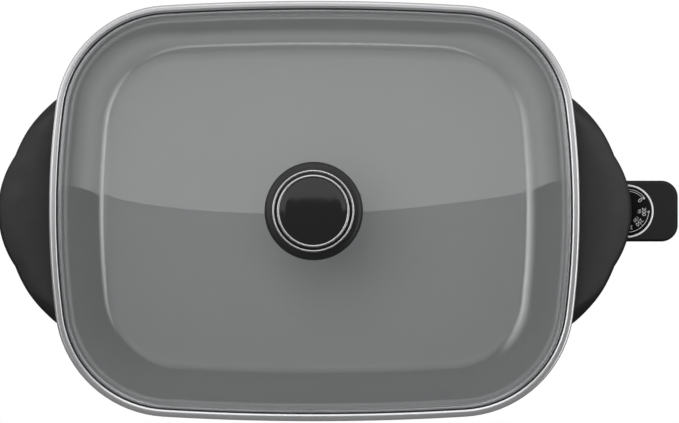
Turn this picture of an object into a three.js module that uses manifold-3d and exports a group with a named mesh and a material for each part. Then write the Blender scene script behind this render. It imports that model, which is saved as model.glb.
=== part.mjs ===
// A rectangular electric skillet with a lift-off glass lid and a plug-in temperature control.
// A die-cast pan holds a tubular heating element in a rib under its floor. A crescent handle with two
// legs is screwed under a lug cast on each end of the pan. The glass lid is held in a steel band and has
// a round knob. The control slides onto the element's two pins under the right-hand handle, and a
// sensing rod reaches under the floor from it. Units are millimetres, +Z is up.
import * as THREE from "three";
import { mergeVertices } from "three/addons/utils/BufferGeometryUtils.js";
import Module from "manifold-3d";

const wasm = await Module();
wasm.setup();

// Clearances that the whole object shares
const fitGap = 0.3; // between two pieces that touch
const cutOverrun = 1.5; // how far a cutting tool runs past the face that it cuts

// Outline seen from above, at the outside of the lid's steel band: four bowed edges and round corners
const lidHalfLength = 200;
const lidHalfWidth = 158.3;
const longEdgeBowRadius = 1900;
const endEdgeBowRadius = 625;
const outlineCornerRadius = 87;

// Pan
const panRimHeight = 105;
const panDepth = 65;
const panFloorThickness = 4;
const panWall = 3.2;
const panRimInset = 1.2; // the pan's rim stands this far inside the lid's band
const panRimThickness = 3.5;
const panRimShelf = 6.8; // width of the flat that carries the band
const lidStepDepth = 3.8; // the step in the rim that locates the lid
const panWallTopInset = 12;
const panWallTopDrop = 3; // the wall's straight stretch ends this far below the rim
const panWallFootInset = 26.5;
const panFloorFillet = 14;

// Cooking heat: tubular element, its rib under the floor, and the boss that its ends leave by
const elementRadius = 4;
const elementEndInset = 78;
const elementSideInset = 76.3;
const elementHalfLength = lidHalfLength - elementEndInset;
const elementHalfWidth = lidHalfWidth - elementSideInset;
const elementCornerRadius = 36;
const ribWidth = 15;
const ribHeight = 9;
const pinHalfSpacing = 11;
const pinRadius = 2.4;
const pinLength = 20.7;
const sealRadius = 3.7;
const sealLength = 3;
const bossHalfWidth = 22;
const bossBelowAxis = 11;
const bossEndInset = 22; // outer face of the boss
const bossEndX = lidHalfLength - bossEndInset;
const bossLength = 50;
const elementProud = 5; // how far the element's ends stand out of the boss

// Guard round the pins
const guardWall = 1.6;
const guardHalfWidth = 23;
const guardHalfHeight = 13;
const guardLength = 20.4;
const guardScrewHalfSpacing = 17.6;
const guardScrewDrop = 6.6;
const plugClearance = 1.9; // between the guard's mouth and the casing of the control

// Lid
const bandSheet = 1.3;
const bandLipWidth = 7;
const bandFootInset = 9; // the band's tongue that drops inside the pan's rim
const bandTongueDepth = 3.3;
const glassThickness = 3.6;
const glassEdgeInset = 2;
const glassHoleClearance = 1.2; // round the knob's screw
const ridgeInsetAlong = 44.5;
const ridgeInsetAcross = 35;
const ridgeCornerRadius = 66;
const skirtRise = 25;
const crownRise = 7;

// Knob
const knobBaseRadius = 36.2;
const knobBaseHeight = 5.6;
const knobRadius = 29.6;
const knobStemRadius = 13.4;
const knobHeight = 25.4;
const knobSpigotRadius = 6;
const trimRingWidth = 1.5;
const trimRingHeight = 2.5;
const capRingRadius = 26.2;
const capRingWidth = 1.8;
const capRingHeight = 2.9;
const capThickness = 2.2;
const knobScrewRadius = 2.4;
const knobScrewHeadRadius = 5;
const knobScrewHeadHeight = 2.6;
const knobScrewGrip = 15; // how far the screw goes up into the knob
const screwTipClearance = 1.2; // between the end of any screw and the bottom of its hole
const knobWasherRadius = 8;
const knobWasherThickness = 1;
const knobGasketThickness = 1.5;

// Handles
const handleDrop = 11; // the top's edges lie this far below the pan's rim
const handleTopHeight = panRimHeight - handleDrop;
const wingOverhang = 37; // how far the two arcs of a handle's edge reach beyond the lid
const gripOverhang = 42.2;
const wingReach = lidHalfLength + wingOverhang;
const gripReach = lidHalfLength + gripOverhang;
const wingRadius = 118.2;
const gripRadius = 75.3;
const handleTipY = 88;
const handleInnerInset = 10.5;
const handleWall = 3.4;
const handleCrown = 3.5;
const handleEdgeRound = 3;
const handleLipDrop = 15;
const handleInnerSkirt = 10;
const shoulderY = 70; // where the top starts to fall towards the leg, under the band's edge
const gripPlateHalfWidth = 33;
const gripPlateThickness = 2.4;
const gripPlateBelly = 2.5;
const gripScrewY = 24;
const gripScrewRadius = 1.6;
const gripBossRadius = 4.2;

// Legs and feet
const legInnerInset = 13;
const legMiddleInset = 2.5;
const legInnerX = lidHalfLength - legInnerInset;
const legMiddleX = lidHalfLength - legMiddleInset;
const legNearY = 63;
const legFarY = 86;
const legFloor = 5;
const legPocketOverrun = 43; // how far the pocket's cut runs past the leg, towards the pan
const footRadius = 7;
const footHeight = 3;
const footStemRadius = 3.2;

// Lugs and handle screws
const lugY = 45;
const lugInset = 3;
const lugX = lidHalfLength - lugInset;
const lugDrop = 14; // the lugs lie this far below the handle's top
const lugTopHeight = handleTopHeight - lugDrop;
const lugThickness = 6;
const lugRadius = 7;
const handleBossRadius = 6;
const handleScrewRadius = 2;
const handleScrewHeadRadius = 3.9;
const handleScrewHeadHeight = 2.6;

// Temperature control: casing
const plugAxisHeight = 27; // the pins, the sensing rod and the control lie at this height
const casingStartX = bossEndX + fitGap + guardLength + plugClearance;
const casingLength = 85.8;
const casingEndX = casingStartX + casingLength;
const casingHalfWidth = 24.1;
const casingBelowAxis = 13;
const casingAboveAxis = 21;
const casingPartingRise = 4.3;
const casingWall = 2.2;
const casingEndRadius = 13;
const casingNearRadius = 3;
const casingEdgeRound = 1.8;
const casingScrewRadius = 1.5;
const casingScrewHeadRadius = 2.8;
const casingScrewHeadHeight = 1.8;
const casingPostRadius = 3.6;
const casingScrewInsetX = 10.5;
const casingScrewHalfSpacing = 17.2;

// Temperature control: inside
const noseHalfWidth = 17;
const noseHalfHeight = 9.5;
const noseLength = 14;
const noseFlange = 2;
const noseFlangeThickness = 3;
const socketRadius = 4;
const socketLength = 17;
const rodRadius = 3.2;
const rodReach = 71; // from the casing to the rod's tip under the pan
const rodTipClearance = 3;
const frameThickness = 1.6;
const frameHalfWidth = 7;
const stackLength = 10;
const stackHalfWidth = 6;
const stackFromEnd = 26;
const bladeHalfWidth = 3.5;
const bladeThickness = 0.8;
const bladeBite = 4;
const bimetalRise = 6;
const armRise = 11;
const contactRadius = 1.8;
const contactHeight = 1.3;
const busbarWidth = 3;
const busbarThickness = 1;
const terminalBlockLength = 12;
const terminalBlockHeight = 5;
const glandRadius = 6;
const glandBore = 4.2;
const glandLength = 9;
const glandFlange = 1.6;

// Temperature control: dial
const dialFromEnd = 40.8; // from the casing's far end to the dial's axis
const dialSetback = casingLength - dialFromEnd;
const dialRadius = 19.4;
const dialThickness = 4.4;
const dialBarWidth = 6;
const dialBarHeight = 5;
const spindleRadius = 2.9;
const bezelWidth = 1.5;
const bezelHeight = 2.6;

// How finely round and bowed forms are divided
const endEdgeSteps = 2;
const cornerSteps = 5;
const longEdgeSteps = 2;
const knobSides = 24;
const smallSides = 8;
const elementSides = 8;
const elementBendSteps = 4;
const casingCornerSteps = 5;
const handleSections = 16;

// Materials, in the colours of the finished object
function finish(color, roughness, metalness) {
  return new THREE.MeshStandardMaterial({ color, roughness, metalness });
}
const castCoating = finish(0x7a7a7a, 0.45, 0.2);
const blackPlastic = finish(0x222222, 0.4, 0);
const glossBlack = finish(0x151515, 0.12, 0);
const brushedSteel = finish(0x9d9da0, 0.3, 1);
const brightMetal = finish(0xc8c8c8, 0.2, 1);
const elementSheath = finish(0x5d5a55, 0.5, 0.8);
const brassMetal = finish(0xb8955a, 0.35, 1);
const ceramicWhite = finish(0xd9d5c8, 0.7, 0);
const blackRubber = finish(0x1a1a1a, 0.85, 0);
const clearSilicone = finish(0xb9b9b4, 0.6, 0);
const lidGlassTint = finish(0x8c9092, 0.05, 0);
lidGlassTint.transparent = true;
lidGlassTint.opacity = 0.4;

// Solids: closed geometries joined and cut
function toSolid(geometry) {
  const bare = geometry.index ? geometry.toNonIndexed() : geometry.clone();
  bare.deleteAttribute("normal");
  bare.deleteAttribute("uv");
  const merged = mergeVertices(bare, 1e-4);
  const mesh = new wasm.Mesh({
    numProp: 3,
    vertProperties: merged.attributes.position.array,
    triVerts: new Uint32Array(merged.index.array),
  });
  return new wasm.Manifold(mesh);
}

function toGeometry(solid) {
  const mesh = solid.getMesh();
  const geometry = new THREE.BufferGeometry();
  geometry.setAttribute("position", new THREE.BufferAttribute(mesh.vertProperties, 3));
  geometry.setIndex(new THREE.BufferAttribute(mesh.triVerts, 1));
  return geometry;
}

function join(first, ...others) {
  return toGeometry(others.reduce((whole, one) => whole.add(toSolid(one)), toSolid(first)));
}

function cut(first, ...tools) {
  return toGeometry(tools.reduce((whole, one) => whole.subtract(toSolid(one)), toSolid(first)));
}

function common(first, second) {
  return toGeometry(toSolid(first).intersect(toSolid(second)));
}

// A turned solid about Z from a profile of [radius, height] pairs that closes on itself or on the axis
function turned(profile, sides = smallSides) {
  const points = profile.map(([r, z]) => new THREE.Vector2(r, z));
  if (profile[0][0] > 0) points.push(points[0].clone());
  return outward(new THREE.LatheGeometry(points, sides).rotateX(Math.PI / 2));
}

function rod(radius, from, to, sides = smallSides) {
  return turned([[0, from], [radius, from], [radius, to], [0, to]], sides);
}

function ring(outer, inner, from, to, sides = smallSides) {
  return turned([[inner, from], [outer, from], [outer, to], [inner, to]], sides);
}

function block(minX, maxX, minY, maxY, minZ, maxZ) {
  const box = new THREE.BoxGeometry(maxX - minX, maxY - minY, maxZ - minZ);
  return box.translate((minX + maxX) / 2, (minY + maxY) / 2, (minZ + maxZ) / 2);
}

// Lays a solid that was turned about Z along X, pointing to +X
function alongX(geometry) {
  return geometry.rotateY(Math.PI / 2);
}

// A closed mesh faces outwards when its signed volume is positive
function outward(geometry) {
  const flat = geometry.index ? geometry.toNonIndexed() : geometry;
  const p = flat.attributes.position;
  const [a, b, c] = [new THREE.Vector3(), new THREE.Vector3(), new THREE.Vector3()];
  let volume = 0;
  for (let i = 0; i < p.count; i += 3) {
    a.fromBufferAttribute(p, i);
    b.fromBufferAttribute(p, i + 1);
    c.fromBufferAttribute(p, i + 2);
    volume += a.dot(b.cross(c));
  }
  if (volume > 0) return flat;
  const array = p.array;
  for (let i = 0; i < array.length; i += 9) {
    for (let k = 0; k < 3; k++) {
      const kept = array[i + k];
      array[i + k] = array[i + 3 + k];
      array[i + 3 + k] = kept;
    }
  }
  return flat;
}

// A skin over rings of as many points each. It closes on itself, or ends in a flat cap at each end,
// which flatten() lays out in two dimensions.
function loft(rings, closed = false, flatten = (p) => new THREE.Vector2(p.x, p.y)) {
  const count = rings[0].length;
  const positions = rings.flat().flatMap((p) => [p.x, p.y, p.z]);
  const index = [];
  const bands = closed ? rings.length : rings.length - 1;
  for (let i = 0; i < bands; i++) {
    const a = i * count;
    const b = ((i + 1) % rings.length) * count;
    for (let j = 0; j < count; j++) {
      const k = (j + 1) % count;
      index.push(a + j, a + k, b + k, a + j, b + k, b + j);
    }
  }
  if (!closed) {
    for (const [ringNumber, keep] of [[0, false], [rings.length - 1, true]]) {
      const flat = rings[ringNumber].map(flatten);
      const turnsLeft = !THREE.ShapeUtils.isClockWise(flat);
      for (const face of THREE.ShapeUtils.triangulateShape(flat, [])) {
        const sameTurn = !THREE.ShapeUtils.isClockWise(face.map((n) => flat[n])) === turnsLeft;
        const [p, q, r] = sameTurn === keep ? face : [face[0], face[2], face[1]];
        index.push(ringNumber * count + p, ringNumber * count + q, ringNumber * count + r);
      }
    }
  }
  const geometry = new THREE.BufferGeometry();
  geometry.setAttribute("position", new THREE.Float32BufferAttribute(positions, 3));
  geometry.setIndex(index);
  return outward(geometry);
}

// The bowed outline

// Centres of the arcs of a bowed rectangle's first quarter
function bowedArcs(halfLength, halfWidth, longRadius, endRadius, cornerRadius) {
  const endCentre = new THREE.Vector2(halfLength - endRadius, 0);
  const longCentre = new THREE.Vector2(0, halfWidth - longRadius);
  const reachEnd = endRadius - cornerRadius;
  const reachLong = longRadius - cornerRadius;
  const between = longCentre.clone().sub(endCentre);
  const apart = between.length();
  const unit = between.clone().divideScalar(apart);
  const along = (reachEnd ** 2 - reachLong ** 2 + apart ** 2) / (2 * apart);
  const aside = Math.sqrt(reachEnd ** 2 - along ** 2);
  const cornerCentre = endCentre
    .clone()
    .addScaledVector(unit, along)
    .add(new THREE.Vector2(-unit.y, unit.x).multiplyScalar(aside));
  const endAngle = cornerCentre.clone().sub(endCentre).angle();
  const longAngle = cornerCentre.clone().sub(longCentre).angle();
  return { endCentre, longCentre, cornerCentre, endAngle, longAngle };
}

// Points round a bowed rectangle, the same number for any size, so that two outlines can be skinned
function bowedOutline(halfLength, halfWidth, longRadius, endRadius, cornerRadius) {
  const arcs = bowedArcs(halfLength, halfWidth, longRadius, endRadius, cornerRadius);
  const quarter = [];
  const sweep = (centre, radius, from, to, steps) => {
    for (let i = 0; i < steps; i++) {
      const angle = from + ((to - from) * i) / steps;
      quarter.push([centre.x + radius * Math.cos(angle), centre.y + radius * Math.sin(angle)]);
    }
  };
  sweep(arcs.endCentre, endRadius, 0, arcs.endAngle, endEdgeSteps);
  sweep(arcs.cornerCentre, cornerRadius, arcs.endAngle, arcs.longAngle, cornerSteps);
  sweep(arcs.longCentre, longRadius, arcs.longAngle, Math.PI / 2, longEdgeSteps);
  const back = [[0, halfWidth], ...quarter.slice(1).reverse()].map(([x, y]) => [-x, y]);
  const half = [...quarter, ...back];
  return [...half, ...half.map(([x, y]) => [-x, -y])].map(([x, y]) => new THREE.Vector2(x, y));
}

// The lid band's outline drawn inwards by an inset, all round
function rimOutline(inset) {
  return bowedOutline(
    lidHalfLength - inset,
    lidHalfWidth - inset,
    longEdgeBowRadius - inset,
    endEdgeBowRadius - inset,
    outlineCornerRadius - inset,
  );
}

function atHeight(outline, z) {
  return outline.map((p) => new THREE.Vector3(p.x, p.y, z));
}

// How far out the end of the rim's outline lies at a distance y from the middle
function rimEndX(y, inset) {
  const arcs = bowedArcs(
    lidHalfLength,
    lidHalfWidth,
    longEdgeBowRadius,
    endEdgeBowRadius,
    outlineCornerRadius,
  );
  const radius = endEdgeBowRadius - inset;
  const side = Math.abs(y);
  if (side <= radius * Math.sin(arcs.endAngle)) {
    return arcs.endCentre.x + Math.sqrt(radius ** 2 - side ** 2);
  }
  const corner = outlineCornerRadius - inset;
  return arcs.cornerCentre.x + Math.sqrt(corner ** 2 - (side - arcs.cornerCentre.y) ** 2);
}

// Pan: floor, drafted wall, stepped rim, element rib, terminal boss and four handle lugs
const panFloorTop = panRimHeight - panDepth;
const panUnderside = panFloorTop - panFloorThickness;
const panWallTop = panRimHeight - panRimThickness - panWallTopDrop;
const panWallFoot = panUnderside + panFloorFillet * 0.72;

// Inset of the outside of the wall at a height
function wallInset(z) {
  const share = (panWallTop - z) / (panWallTop - panWallFoot);
  return panWallTopInset + (panWallFootInset - panWallTopInset) * share;
}

function panShell() {
  const shelfInner = panRimInset + panRimShelf;
  const stepZ = panRimHeight - lidStepDepth;
  const rimUnder = panRimHeight - panRimThickness;
  const filletInset = panWallFootInset + panFloorFillet * 0.5;
  const innerFloorInset = panWallFootInset + panFloorFillet + panWall * 0.8;
  const innerFoot = panFloorTop + panFloorFillet * 0.85;
  const levels = [
    [panWallFootInset + panFloorFillet, panUnderside],
    [filletInset, panUnderside + panFloorFillet * 0.1],
    [panWallFootInset + panFloorFillet * 0.15, panUnderside + panFloorFillet * 0.36],
    [panWallFootInset, panWallFoot],
    [panWallTopInset, panWallTop],
    [panWallTopInset - panRimInset * 1.5, rimUnder - fitGap],
    [panRimInset + fitGap * 2, rimUnder],
    [panRimInset, rimUnder + fitGap * 3],
    [panRimInset, panRimHeight - fitGap],
    [panRimInset + fitGap, panRimHeight],
    [shelfInner, panRimHeight],
    [shelfInner + fitGap, stepZ],
    [panWallTopInset + panWall, stepZ - fitGap * 2],
    [wallInset(innerFoot) + panWall, innerFoot],
    [panWallFootInset + panWall + panFloorFillet * 0.3, panFloorTop + panFloorFillet * 0.3],
    [panWallFootInset + panWall + panFloorFillet * 0.62, panFloorTop + panFloorFillet * 0.07],
    [innerFloorInset, panFloorTop],
  ];
  return loft(levels.map(([inset, z]) => atHeight(rimOutline(inset), z)));
}

// The element's centre line, level, from one lead's end round the pan's floor to the other's
function elementPath(leadEndX) {
  const at = (x, y) => new THREE.Vector3(x, y, 0);
  const a = elementHalfLength;
  const b = elementHalfWidth;
  const r = elementCornerRadius;
  const lead = pinHalfSpacing;
  const bend = (b - lead) / 3;
  const path = new THREE.CurvePath();
  const straight = (from, to) => path.add(new THREE.LineCurve3(from, to));
  const corner = (from, by, to) => path.add(new THREE.QuadraticBezierCurve3(from, by, to));
  straight(at(leadEndX, lead), at(a + bend, lead));
  corner(at(a + bend, lead), at(a, lead), at(a, lead + bend));
  straight(at(a, lead + bend), at(a, b - r));
  corner(at(a, b - r), at(a, b), at(a - r, b));
  straight(at(a - r, b), at(r - a, b));
  corner(at(r - a, b), at(-a, b), at(-a, b - r));
  straight(at(-a, b - r), at(-a, r - b));
  corner(at(-a, r - b), at(-a, -b), at(r - a, -b));
  straight(at(r - a, -b), at(a - r, -b));
  corner(at(a - r, -b), at(a, -b), at(a, r - b));
  straight(at(a, r - b), at(a, -lead - bend));
  corner(at(a, -lead - bend), at(a, -lead), at(a + bend, -lead));
  straight(at(a + bend, -lead), at(leadEndX, -lead));
  return path;
}

// A section of [drop, offset to the left] pairs, carried along the element's centre line
function alongElement(corners, leadEndX) {
  const rings = [];
  for (const curve of elementPath(leadEndX).curves) {
    const steps = curve.isLineCurve3 ? 1 : elementBendSteps;
    for (let i = rings.length ? 1 : 0; i <= steps; i++) {
      const middle = curve.getPoint(i / steps);
      const ahead = curve.getTangent(i / steps);
      const left = new THREE.Vector3(-ahead.y, ahead.x, 0);
      rings.push(corners.map(([drop, aside]) => middle.clone().addScaledVector(left, aside).setZ(-drop)));
    }
  }
  return loft(rings, false, (p) => new THREE.Vector2(p.y, p.z));
}

function elementTube(radius) {
  const corners = Array.from({ length: elementSides }, (_, i) => {
    const angle = (2 * Math.PI * (i + 0.5)) / elementSides;
    return [radius * Math.cos(angle), radius * Math.sin(angle)];
  });
  return alongElement(corners, bossEndX + elementProud);
}

// The rib that holds the element runs from inside the floor down past it, and stops inside the boss
function elementRib() {
  const half = ribWidth / 2;
  const top = plugAxisHeight - panUnderside - panFloorThickness / 2;
  const bottom = plugAxisHeight - panUnderside + ribHeight;
  const corners = [[top, -half], [bottom, -half * 0.7], [bottom, half * 0.7], [top, half]];
  return alongElement(corners, bossEndX - bossLength / 3);
}

// Where a lug's root lies, in the middle of the wall
function lugRootX(y, z) {
  return rimEndX(y, wallInset(z) + panWall / 2);
}

function lugShape() {
  const root = lugRootX(lugY, lugTopHeight);
  const shape = new THREE.Shape();
  shape.moveTo(root, lugY - lugRadius);
  shape.lineTo(lugX, lugY - lugRadius);
  shape.absarc(lugX, lugY, lugRadius, -Math.PI / 2, Math.PI / 2, false);
  shape.lineTo(root, lugY + lugRadius);
  shape.closePath();
  const hole = new THREE.Path();
  hole.absarc(lugX, lugY, handleScrewRadius + fitGap, 0, 2 * Math.PI, true);
  shape.holes.push(hole);
  return shape;
}

// A lug's root leans with the wall, so it stays hidden in it
function leanWithWall(lug) {
  const places = lug.getAttribute("position");
  for (let i = 0; i < places.count; i += 1) {
    if (places.getX(i) < lugRootX(lugY, lugTopHeight) + fitGap) {
      places.setX(i, lugRootX(places.getY(i), places.getZ(i)));
    }
  }
}

function pan() {
  const boss = block(
    bossEndX - bossLength,
    bossEndX,
    -bossHalfWidth,
    bossHalfWidth,
    plugAxisHeight - bossBelowAxis,
    panUnderside + panFloorThickness / 2,
  );
  const wellTip = casingStartX - rodReach - rodTipClearance;
  const rodWell = alongX(rod(rodRadius + fitGap, wellTip, bossEndX + cutOverrun));
  const guardScrewHoles = [-1, 1].map((side) =>
    alongX(rod(casingScrewRadius + fitGap, bossEndX - bossLength / 5, bossEndX + cutOverrun)).translate(
      0,
      side * guardScrewHalfSpacing,
      plugAxisHeight - guardScrewDrop,
    ),
  );
  const lugs = [];
  for (const [sx, sy] of [[1, 1], [1, -1], [-1, 1], [-1, -1]]) {
    const lug = new THREE.ExtrudeGeometry(lugShape(), {
      depth: lugThickness,
      bevelEnabled: false,
      curveSegments: smallSides / 2,
    });
    lug.translate(0, 0, lugTopHeight - lugThickness);
    leanWithWall(lug);
    lugs.push(outward(lug.scale(sx, sy, 1)));
  }
  return cut(
    join(panShell(), elementRib().translate(0, 0, plugAxisHeight), boss, ...lugs),
    elementTube(elementRadius + fitGap).translate(0, 0, plugAxisHeight),
    rodWell.translate(0, 0, plugAxisHeight),
    ...guardScrewHoles,
  );
}

// Element, its end seals and pins, all at the height of the plug's axis
const elementEndX = bossEndX + elementProud;

function terminalPin() {
  const tip = pinLength - pinRadius;
  return alongX(
    turned([[0, 0], [pinRadius, 0], [pinRadius, tip], [pinRadius / 2, pinLength], [0, pinLength]]),
  );
}

function elementSeal() {
  return alongX(ring(sealRadius, pinRadius + fitGap, 0, sealLength));
}

// Guard: a pressed steel box, open towards the control, screwed to the boss's face
function probeGuard() {
  const box = block(0, guardLength, -guardHalfWidth, guardHalfWidth, -guardHalfHeight, guardHalfHeight);
  const inside = block(
    guardWall,
    guardLength + cutOverrun,
    guardWall - guardHalfWidth,
    guardHalfWidth - guardWall,
    guardWall - guardHalfHeight,
    guardHalfHeight - guardWall,
  );
  const hole = (radius, y, z) =>
    alongX(rod(radius, -cutOverrun, guardWall + cutOverrun)).translate(0, y, z);
  const tools = [inside, hole(rodRadius + fitGap * 3, 0, 0)];
  for (const side of [-1, 1]) {
    tools.push(hole(elementRadius + fitGap * 2, side * pinHalfSpacing, 0));
    tools.push(hole(casingScrewRadius + fitGap, side * guardScrewHalfSpacing, -guardScrewDrop));
  }
  return cut(box, ...tools);
}

// A pan-head screw that points to +Z, its head's underside at the origin
function screw(shankRadius, length, headRadius, headHeight) {
  return turned([
    [0, -headHeight],
    [headRadius * 0.75, -headHeight],
    [headRadius, -headHeight / 2],
    [headRadius, 0],
    [shankRadius, 0],
    [shankRadius, length],
    [0, length + shankRadius / 2],
  ]);
}

// Lid: steel band, glass and knob. Its heights are measured from the underside of the band.
const bandBottom = panRimHeight + fitGap;
const glassBottom = bandSheet + fitGap;
const glassTop = glassBottom + glassThickness;
const bandTop = glassTop + fitGap + bandSheet;
const ridgeTop = glassTop + skirtRise;
const crownTop = ridgeTop + crownRise;

function lidBand() {
  const wall = bandSheet + fitGap / 2;
  const section = [
    [wall * 0.6, 0],
    [0, wall * 0.6],
    [0, bandTop - bandSheet * 1.3],
    [bandSheet * 0.35, bandTop - bandSheet * 0.5],
    [bandSheet, bandTop - bandSheet * 0.1],
    [bandLipWidth - bandSheet, bandTop],
    [bandLipWidth - bandSheet * 0.3, bandTop - bandSheet * 0.4],
    [bandLipWidth, bandTop - bandSheet],
    [wall, bandTop - bandSheet],
    [wall, bandSheet],
    [bandFootInset + bandSheet, bandSheet],
    [bandFootInset + bandSheet, -bandTongueDepth],
    [bandFootInset, -bandTongueDepth],
    [bandFootInset, 0],
  ];
  return loft(section.map(([inset, z]) => atHeight(rimOutline(inset), z)), true);
}

// The glass is a skirt that leaves the band steeply and bends over to a ridge, then a shallow crown
const skirtShares = [0, 0.25, 0.55, 0.82, 1]; // of the way across, from the band to the ridge
const skirtBendShare = 1.6; // at 1 the skirt would be a straight slope
const crownShares = [0.9, 0.65, 0.35]; // of the ridge's outline

function lidGlass() {
  const edge = rimOutline(glassEdgeInset);
  const foot = rimOutline(bandLipWidth + bandSheet);
  const ridge = bowedOutline(
    lidHalfLength - ridgeInsetAlong,
    lidHalfWidth - ridgeInsetAcross,
    longEdgeBowRadius,
    endEdgeBowRadius,
    ridgeCornerRadius,
  );
  const hole = ridge.map((p) => p.clone().setLength(knobScrewRadius + glassHoleClearance));
  const top = [atHeight(edge, glassTop)];
  for (const share of skirtShares) {
    const up = skirtRise * (1 - (1 - share) ** skirtBendShare);
    top.push(atHeight(foot.map((p, i) => p.clone().lerp(ridge[i], share)), glassTop + up));
  }
  for (const share of crownShares) {
    const outline = ridge.map((p) => p.clone().multiplyScalar(share));
    top.push(atHeight(outline, ridgeTop + crownRise * (1 - share ** 2)));
  }
  top.push(atHeight(hole, crownTop));
  const under = top.map((ringPoints) =>
    ringPoints.map((p) => new THREE.Vector3(p.x, p.y, p.z - glassThickness)),
  );
  return loft([...top, ...under.reverse()], true);
}

// Knob pieces, with heights measured from the top of the glass's crown
function knobBase() {
  const bore = knobSpigotRadius + fitGap;
  const edge = knobBaseHeight * 0.45;
  return turned(
    [
      [bore, fitGap],
      [knobBaseRadius - edge / 2, fitGap],
      [knobBaseRadius, edge / 2],
      [knobBaseRadius, edge],
      [knobBaseRadius - edge * 0.7, edge * 1.6],
      [knobStemRadius * 1.5, knobBaseHeight],
      [bore, knobBaseHeight],
    ],
    knobSides,
  );
}

const knobBodyTop = knobHeight;

function knobBody() {
  const bore = knobScrewRadius + fitGap;
  const start = knobBaseHeight + fitGap;
  const flare = knobBodyTop - start;
  const reach = knobRadius - knobStemRadius;
  return turned(
    [
      [0, knobScrewGrip + screwTipClearance],
      [bore, knobScrewGrip + screwTipClearance],
      [bore, fitGap],
      [knobSpigotRadius, fitGap],
      [knobSpigotRadius, start],
      [knobStemRadius * 1.08, start],
      [knobStemRadius, start + flare * 0.16],
      [knobStemRadius, start + flare * 0.38],
      [knobStemRadius + reach * 0.2, start + flare * 0.58],
      [knobStemRadius + reach * 0.6, start + flare * 0.74],
      [knobRadius - reach * 0.07, start + flare * 0.84],
      [knobRadius, start + flare * 0.93],
      [knobRadius, knobBodyTop],
      [0, knobBodyTop],
    ],
    knobSides,
  );
}

function knobTrimRing() {
  const inner = knobRadius - trimRingWidth;
  const bottom = knobBodyTop + fitGap;
  const top = bottom + trimRingHeight;
  const soft = trimRingWidth * 0.3;
  return turned(
    [[inner, bottom], [knobRadius, bottom], [knobRadius, top - soft], [knobRadius - soft, top], [inner, top]],
    knobSides,
  );
}

function knobCapRing() {
  const inner = capRingRadius - capRingWidth;
  const bottom = knobBodyTop + fitGap;
  const top = bottom + capRingHeight;
  const soft = capRingWidth * 0.3;
  return turned(
    [
      [inner, bottom],
      [capRingRadius, bottom],
      [capRingRadius, top - soft],
      [capRingRadius - soft, top],
      [inner + soft, top],
      [inner, top - soft],
    ],
    knobSides,
  );
}

function knobCap() {
  const radius = capRingRadius - capRingWidth - fitGap;
  const bottom = knobBodyTop + fitGap;
  const top = bottom + capThickness;
  return turned(
    [[0, bottom], [radius, bottom], [radius, top - fitGap], [radius * 0.6, top], [0, top]],
    knobSides,
  );
}

// Handles, made for the right-hand end; the left one is the same assembly turned half round
const wingCentreX = wingReach - wingRadius;
const gripCentreX = gripReach - gripRadius;

// Outer edge of a handle from above: two arcs about the middle line, whichever reaches further
function handleReach(y) {
  const wing = wingCentreX + Math.sqrt(wingRadius ** 2 - y ** 2);
  const grip = Math.abs(y) < gripRadius ? gripCentreX + Math.sqrt(gripRadius ** 2 - y ** 2) : 0;
  return Math.max(wing, grip);
}

// Where the two arcs cross, which makes the small notch in the handle's edge
function gripMeetY() {
  const apart = gripCentreX - wingCentreX;
  const x = (wingRadius ** 2 - gripRadius ** 2 + apart ** 2) / (2 * apart);
  return Math.sqrt(wingRadius ** 2 - x ** 2);
}

const shoulderSkewShare = 0.57; // the shoulder line runs out towards the middle
const shoulderFallShare = 1.15;
const shoulderBlendShare = 0.08; // of the shoulder's distance: how gently the fall starts

function handleTop(x, y, inner, outer) {
  const middle = (inner + outer) / 2;
  const across = ((x - middle) * 2) / (outer - inner);
  const crown = handleCrown * (1 - across ** 2);
  const past = Math.abs(y) - shoulderY + (x - lidHalfLength) * shoulderSkewShare;
  const blend = shoulderY * shoulderBlendShare;
  const eased = past <= 0 ? 0 : past < 2 * blend ? past ** 2 / (4 * blend) : past - blend;
  return handleTopHeight + crown - shoulderFallShare * eased;
}

const skinShares = [0, 0.34, 0.66, 1]; // points across the top, between its two round edges

// The moulding's outer skin in section, from the pan's side to the outside
function handleSkin(y, innerDrop, outerDrop) {
  const inner = rimEndX(y, handleInnerInset);
  const outer = handleReach(y);
  const top = (x) => handleTop(x, y, inner, outer);
  const r = handleEdgeRound;
  const [from, to] = [inner + r, outer - r * 1.1];
  return [
    [inner, top(inner) - innerDrop],
    [inner, top(inner) - r],
    [inner + r * 0.3, top(inner) - r * 0.3],
    ...skinShares.map((share) => from + (to - from) * share).map((x) => [x, top(x)]),
    [outer - r * 0.3, top(outer) - r * 0.5],
    [outer, top(outer) - r * 1.4],
    [outer - fitGap, top(outer) - outerDrop],
  ];
}

function handleYs() {
  const meet = gripMeetY();
  const ys = [-meet, meet];
  for (let i = 0; i <= handleSections; i++) {
    const y = -handleTipY + (2 * handleTipY * i) / handleSections;
    if (Math.abs(Math.abs(y) - meet) > handleTipY / handleSections / 2) ys.push(y);
  }
  return ys.sort((one, other) => one - other);
}

function sectionsAlongY(ys, sectionAt) {
  const rings = ys.map((y) => sectionAt(y).map(([x, z]) => new THREE.Vector3(x, y, z)));
  return loft(rings, false, (p) => new THREE.Vector2(p.x, p.z));
}

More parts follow.
